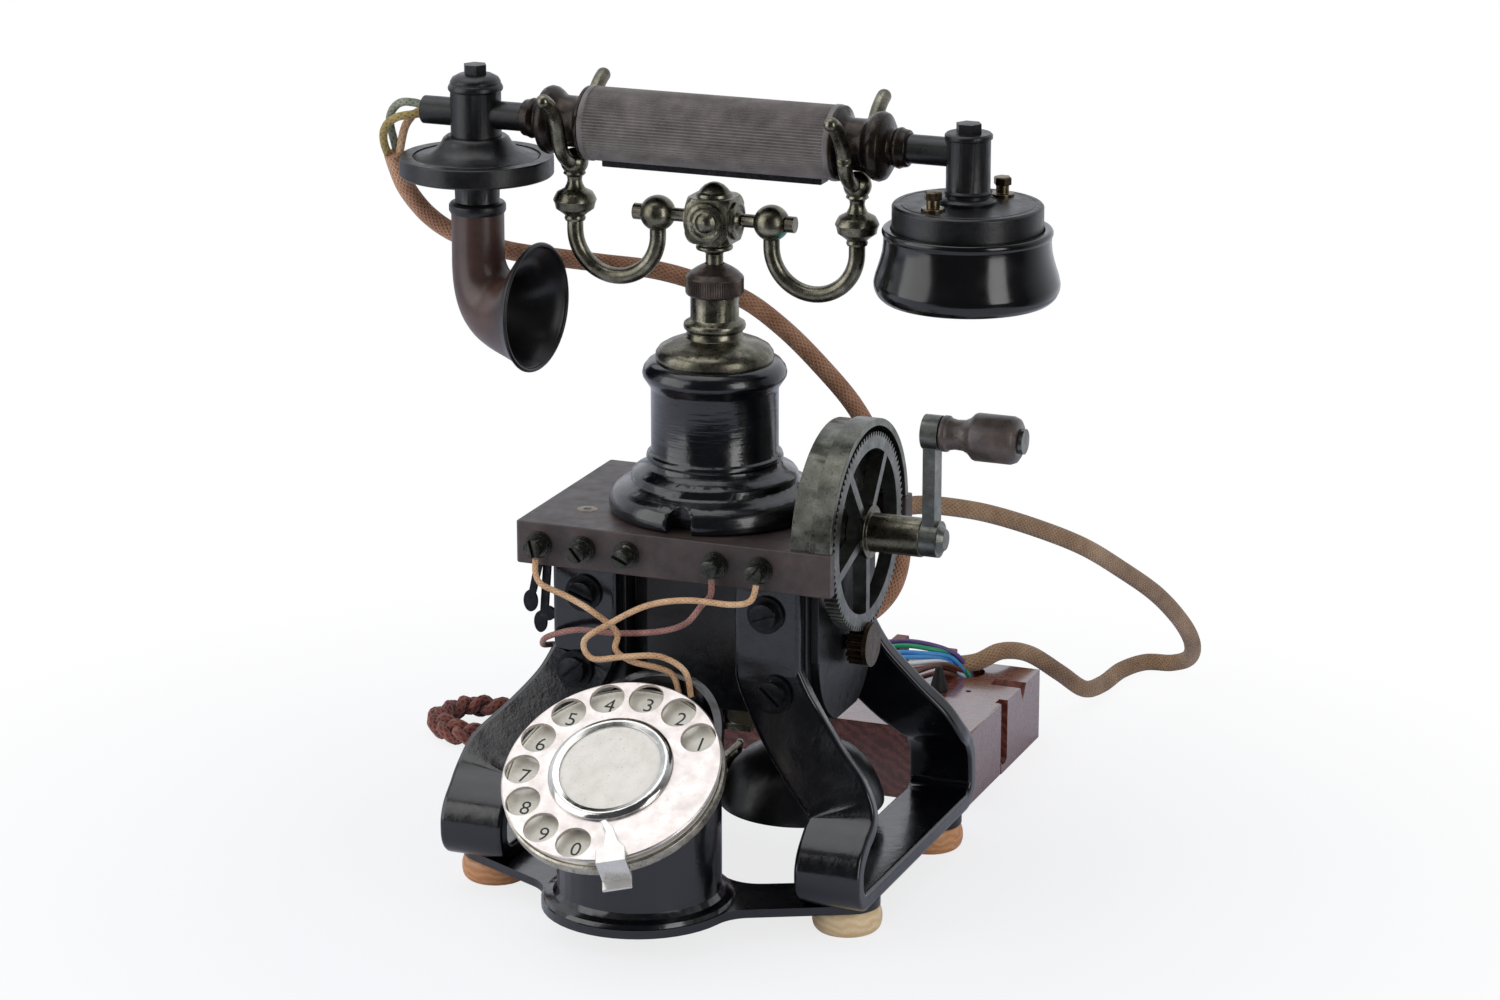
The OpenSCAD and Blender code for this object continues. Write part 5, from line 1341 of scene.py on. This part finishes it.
@dataclass
class Block:
    """The connection block: a front half, and a rear half with a slot, a well and a notch.

    The slot's end stands at the right of end, and the gap is between the halves.
    """

    left: float = -50.0
    right: float = 66.0
    front: float = 82.0
    joint: float = 119.6
    back: float = 165.0
    height: float = 28.0
    gap: float = 0.4
    step: float = 0.9
    end: float = 54.0
    slot: float = 3.4

    HOLES = ((41.0, 152.4, 7.0, 8.0), (49.0, 131.0, 1.1, 3.0), (30.0, 125.5, 1.0, 3.0))
    SCREWS = ((24.0, 124.5), (30.5, 122.8), (-8.0, 123.0), (-8.0, 128.0), (-8.0, 133.0),
              (-8.0, 138.0))
    CLEATS = (((31, 147.5, 26.5), (36, 156.5, 34.5)), ((12, 143, 26.5), (17, 155, 38)))

    def prism(self, outline: Route, low: float, high: float,
              holes: Sequence[tuple[float, float, float, float]] = ()) -> Shell:
        """Makes an upright prism with round blind holes in its top.

        Args:
            outline: its corners, counterclockwise.
            low: height of its base.
            high: height of its top.
            holes: x, y, radius and depth of each.

        Returns:
            Its surface.
        """
        turn = np.linspace(0, math.tau, 40, endpoint=False)
        n = len(outline)
        rings = [np.array(outline, float)] + [
            np.column_stack([x + r * np.cos(-turn), y + r * np.sin(-turn)])
            for x, y, r, _ in holes]
        flat = np.vstack(rings)
        points = [np.column_stack([flat, np.full(len(flat), high)]),
                  np.column_stack([rings[0], np.full(n, low)])]
        base = len(flat)
        faces: list[Any] = [[i, base + i, base + (i + 1) % n, (i + 1) % n] for i in range(n)]
        faces.append(list(range(base + n - 1, base - 1, -1)))
        for face in tessellate_polygon([[Vector((x, y, 0)) for x, y in ring] for ring in rings]):
            a, b, c = (flat[i] for i in face)
            upward = (b[0] - a[0]) * (c[1] - a[1]) - (b[1] - a[1]) * (c[0] - a[0]) > 0
            faces.append(list(face)[::1 if upward else -1])
        start, base = n, base + n
        for ring, (_, _, _, depth) in zip(rings[1:], holes):
            m = len(ring)
            points.append(np.column_stack([ring, np.full(m, high - depth)]))
            faces += [[start + i, base + i, base + (i + 1) % m, start + (i + 1) % m]
                      for i in range(m)]
            faces.append(list(range(base + m - 1, base - 1, -1)))
            start, base = start + m, base + m
        return Shell(np.vstack(points), faces)

    def build(self, bench: Bench) -> list[Piece]:
        """Makes the block's pieces.

        Args:
            bench: where they are put.

        Returns:
            The pieces.
        """
        x0, x1, y0, y1, y2 = self.left, self.right, self.front, self.joint + self.gap, self.back
        wood, top, end = "varnished_mahogany", self.height - self.step, self.end
        front = self.prism(box((x0, y0), (x1, self.joint)), 0, self.height)
        pieces = [bench.put("block_front", front, wood, ("connection_block",), smooth=30.0,
                            width=0.5 * MM, segments=2)]
        main = self.prism(box((x0, y1), (end, y2)), 0, top, self.HOLES)
        side = ((y1, 0), (y2, 0), (y2, top), (148.5, top), (144.5, top - 6.0), (141.5, top))
        groove = ((y1 + 6.6, top), (y1 + 6.6, 4.6), (y1 + 5.0, 3.2), (y1 + 1.6, 3.2), (y1, 4.6))
        upright = Shell.joined([self.prism((*side, (y1, top)), end, x1 - self.slot),
                                self.prism((*side, *groove), x1 - self.slot, x1)])
        notched = Shell(upright.points[:, [2, 0, 1]], upright.faces)
        pieces += [bench.put(name, shell, wood, smooth=30.0)
                   for name, shell in (("block_rear", main), ("block_end", notched))]
        bushing = ((0, -0.5), (3.4, -0.5), (3.4, 1.2), (2.0, 6.4), (1.2, 9.6), (0, 10.2))
        pieces.append(bench.put("block_bushing", lathe(bushing, (38.5, 127.5, top), sides=40),
                                "lamp_black", smooth=TURNED))
        screw = ((0, -0.5), (1.9, -0.5), (1.9, 0.8), (1.2, 0.9), (1.2, 4.2), (0, 4.6))
        for k, (x, y) in enumerate(self.SCREWS):
            pieces.append(bench.put(f"block_screw_{k}", lathe(screw, (x, y, top), 0.15, 32),
                                    "tarnished_brass", smooth=TURNED))
        for k, (low, high) in enumerate(self.CLEATS):
            cleat = self.prism(box(low, high), low[2], high[2])
            pieces.append(bench.put(f"block_cleat_{k}", cleat, "sawn_mahogany", smooth=30.0,
                                    width=0.6 * MM, segments=3))
        return pieces


class Leads:
    """The thin cotton-covered leads: from the board's screws to the cup, and at the block."""

    DIAL = (
        ("lead_cotton", ((-48.6, -43.6, 118.2), (-48.4, -44, 113), (-45, -46, 110),
                         (-36, -46, 107), (-26, -47, 103), (-17, -47.5, 97), (-17, -48.5, 91),
                         (-11, -48.5, 87.5), (-2, -47.5, 86), (3, -46, 83.5), (5, -45.4, 77))),
        ("lead_cotton", ((32.4, -43.6, 118.2), (31, -45, 113), (25, -47, 111.5), (10, -49.5, 112),
                         (-4, -51, 109), (-18, -52, 101), (-27, -52, 94), (-24, -52, 88),
                         (-12, -51.5, 90), (0, -50, 91), (8, -47.5, 86), (10, -46.8, 77))),
        ("mauve_cotton", ((16.2, -43.6, 118.2), (16, -43.8, 113), (12, -43, 108), (6, -42, 101),
                          (-4, -42, 97), (-20, -42, 94.5), (-34, -42, 94), (-46, -40, 89.5),
                          (-51, -33, 84), (-50.2, -26, 82))))
    BLOCK = (
        ("blue", ((-6.6, 133, 28.2), (-2, 132, 31), (14, 132, 35), (25, 136, 36),
                  (35, 144, 34), (40, 150, 25))),
        ("blue", ((-9.4, 133, 28.2), (-1, 134, 33), (16, 135, 37), (28, 139, 37),
                  (37, 146, 34), (42, 152, 25))),
        ("white", ((-6.6, 128, 28.2), (-1, 128, 30), (15, 130, 33), (26, 135, 34),
                   (35, 143, 33), (41, 151, 25))),
        ("violet", ((-9.4, 138, 28.2), (-1, 138, 35), (15, 139, 40), (27, 142, 40),
                    (38, 148, 35), (43, 153, 25))),
        ("green", ((-6.6, 138, 28.2), (0, 137, 33), (18, 138, 39), (30, 142, 38),
                   (38, 149, 34), (43, 151, 25))),
        ("brown", ((-9.4, 123, 28.2), (1, 124, 30), (16, 125, 31), (27, 130, 32),
                   (35, 139, 33), (40, 153, 25))),
        ("brown", ((-6.6, 123, 28.2), (2, 121.5, 29), (16, 122, 29.6), (27, 127, 30),
                   (36, 137, 31), (39, 150, 25))),
        ("brown", ((-9.4, 128, 28.2), (1, 126, 32), (17, 127, 32.6), (28, 132, 33),
                   (37, 141, 33), (41, 154, 25))))

    def build(self, bench: Bench) -> None:
        """Makes the leads at the dial and the wires at the block.

        Args:
            bench: where they are put.
        """
        lines: dict[str, list[Shell]] = {}
        for finish, route in self.DIAL:
            path = resample(catmull(route, 10), 0.7)
            lines.setdefault(finish, []).append(swept(path, 1.05, 12, (0.3, 0.2, 1), 2.1))
        for k, (finish, shells) in enumerate(lines.items()):
            bench.put(f"dial_lead_{k}", Shell.joined(shells), finish,
                      () if k else ("dial_leads",), smooth=60.0)
        for k, (colour, route) in enumerate(self.BLOCK):
            path = resample(catmull(route, 10), 0.6)
            bench.put(f"block_wire_{k}", swept(path, 0.95, 12, (0.3, 1, 0.2), 1.9),
                      f"{colour}_sleeve", smooth=60.0)


@dataclass
class Dial:
    """The digits under the finger holes, a thin ring printed round the card, and a wide dark ring
    of painted shade where the gap at the plate's edge lies in shadow.
    """

    ring_r: float = 31.0
    plate_z: float = -3.8
    digit_h: float = 5.4
    first: float = 35.0
    pitch: float = 25.6

    def digit(self, text: str) -> Shell:
        """Takes one digit from the built-in font, centred on the origin and flat at zero.

        Args:
            text: the digit.

        Returns:
            Its faces, in millimetres.
        """
        curve = bpy.data.curves.new("digit", "FONT")
        curve.body = text
        curve.resolution_u = 4
        holder = bpy.data.objects.new("digit", curve)
        bpy.context.scene.collection.objects.link(holder)
        bpy.context.view_layer.update()
        mesh = bpy.data.meshes.new_from_object(holder)
        points = np.empty(len(mesh.vertices) * 3)
        mesh.vertices.foreach_get("co", points)
        points = points.reshape(-1, 3)
        low, high = points.min(axis=0), points.max(axis=0)
        points = (points - (low + high) / 2) * self.digit_h / (high[1] - low[1])
        faces = [list(face.vertices) for face in mesh.polygons]
        bpy.data.objects.remove(holder)
        bpy.data.curves.remove(curve)
        bpy.data.meshes.remove(mesh)
        return Shell(points, faces)

    def build(self, bench: Bench) -> None:
        """Makes the digits, one to nine and zero, from the stop round.

        Args:
            bench: where they are put.
        """
        frame = Matrix.Translation(DIAL_CENTRE) @ Matrix.Rotation(DIAL_TILT, 4, "X")
        shells = []
        for i in range(10):
            a = math.radians(self.first + self.pitch * i)
            place = Matrix.Translation((self.ring_r * math.cos(a), self.ring_r * math.sin(a),
                                        self.plate_z + 0.04))
            shells.append(self.digit(str((i + 1) % 10)).moved(frame @ place))
        # The wide ring is painted shade for the dark gap at the plate's edge; the thin ring is a
        # printed line
        for inner, outer in ((34.2, 36.5), (33.2, 33.5)):
            ring = turned(((inner, 0), (outer, 0)), 128)
            shells.append(ring.lifted(0, 0, self.plate_z + 0.03).moved(frame))
        bench.put("dial_digits", Shell.joined(shells), "black_ink_and_painted_shade", smooth=30.0)


class Hardware:
    """Nodes whose shape is kept, by body: node, finish and width of the easing of each."""

    NODES = {
        Body.STAND: (
            ("column", "brushed_enamel", 0.25), ("column_cap", "aged_bronze", 0.2),
            ("hook_spring", "blued_steel", 0.1), ("gear_guard", "dull_bronze", 0.25),
            ("ringer_bridge", "blackened_iron", 0.3), ("ringer_coils", "cotton_winding", 0.3),
            ("gong_left", "dulled_enamel", 0.3), ("gong_right", "dulled_enamel", 0.3),
            ("dial_case", "worn_nickel", 0.2), ("number_plate", "white_enamel", 0.1),
            ("finger_stop", "bright_nickel", 0.25)),
        Body.CLAPPER: (("clapper", "aged_bronze", 0.1),),
        Body.ARMATURE: (("armature", "blackened_iron", 0.3),
                        ("armature_winding", "cotton_winding", 0.2),
                        ("pinion", "rubbed_bronze", 0.1)),
        Body.CRANK: (("crank_gear", "grey_steel", 0.1), ("crank_hub", "aged_bronze", 0.3),
                     ("crank_arm", "grey_steel", 0.5)),
        Body.HANDLE: (("crank_handle", "worn_ebonite", 0.2),),
        Body.DIAL: (("finger_wheel", "nickelled_wheel", 0.3),
                    ("dial_bezel", "polished_nickel", 0.2), ("dial_card", "ivory_card", 0.1)),
        Body.CRADLE: (("cradle_plunger", "aged_bronze", 0.2),
                      ("cradle_block", "aged_bronze", 0.35),
                      ("cradle_balls", "stained_bronze", 0.2),
                      ("cradle_arms", "stained_bronze", 0.1),
                      ("cradle_forks", "aged_bronze", 0.2))}

    def ribs(self, height: np.ndarray, angle: np.ndarray) -> np.ndarray:
        """Gives the knurled nut its ribs, which run only up its straight side.

        Args:
            height: heights on its profile.
            angle: angles round it.

        Returns:
            The change of radius.
        """
        count, depth, low, high = 80, 0.3, 1.0, 6.3
        inside = (height > low) & (height < high)
        return -depth * inside * (0.5 - 0.5 * np.cos(count * angle)) ** 0.8

    def build(self, bench: Bench) -> None:
        """Makes an eased copy of each, the knurled nut and the board's plug.

        Args:
            bench: where they are put.
        """
        for body, rows in self.NODES.items():
            bench.eased(body, rows)
        nut = lathe((
            (3.3, 0), (8.8, 0), (9.7, 0.5), (10, 1.1), (10, 6.2), (9.8, 6.6), (9.4, 7),
            (8.4, 8.1), (6.2, 9.6), (3.6, 11), (3.3, 11)), (0, 0, 205.5), 0.25, 480, self.ribs)
        bench.put("knurled_nut_turned", nut, "gunmetal", ("knurled_nut",), smooth=TURNED)
        plug = lathe((
            (0, -0.3), (3.6, -0.3), (3.6, 0.05), (3.2, 0.12), (1.5, 0.12), (1.3, -0.1),
            (0, -0.1)), (-40.0, -18.6, 130.0), 0.05, 40)
        bench.put("board_plug", plug, "tarnished_brass", smooth=TURNED)


def main() -> None:
    """Builds the telephone and its studio."""
    logging.basicConfig(level=logging.INFO, format="%(name)s: %(message)s")
    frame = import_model()
    low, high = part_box("column")
    axis = np.array([(low.x + high.x) / 2, (low.y + high.y) / 2, 0.0]) / MM
    bench = Bench(frame, axis)
    Studio().build(bench)
    block = Block().build(bench)
    Cords().build(bench, block)
    for part in (Stand(), Handset(), Hardware(), Leads(), Dial()):
        part.build(bench)
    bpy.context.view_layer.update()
    LOG.info("%d pieces made", len(bench.made))


if __name__ == "__main__":
    main()
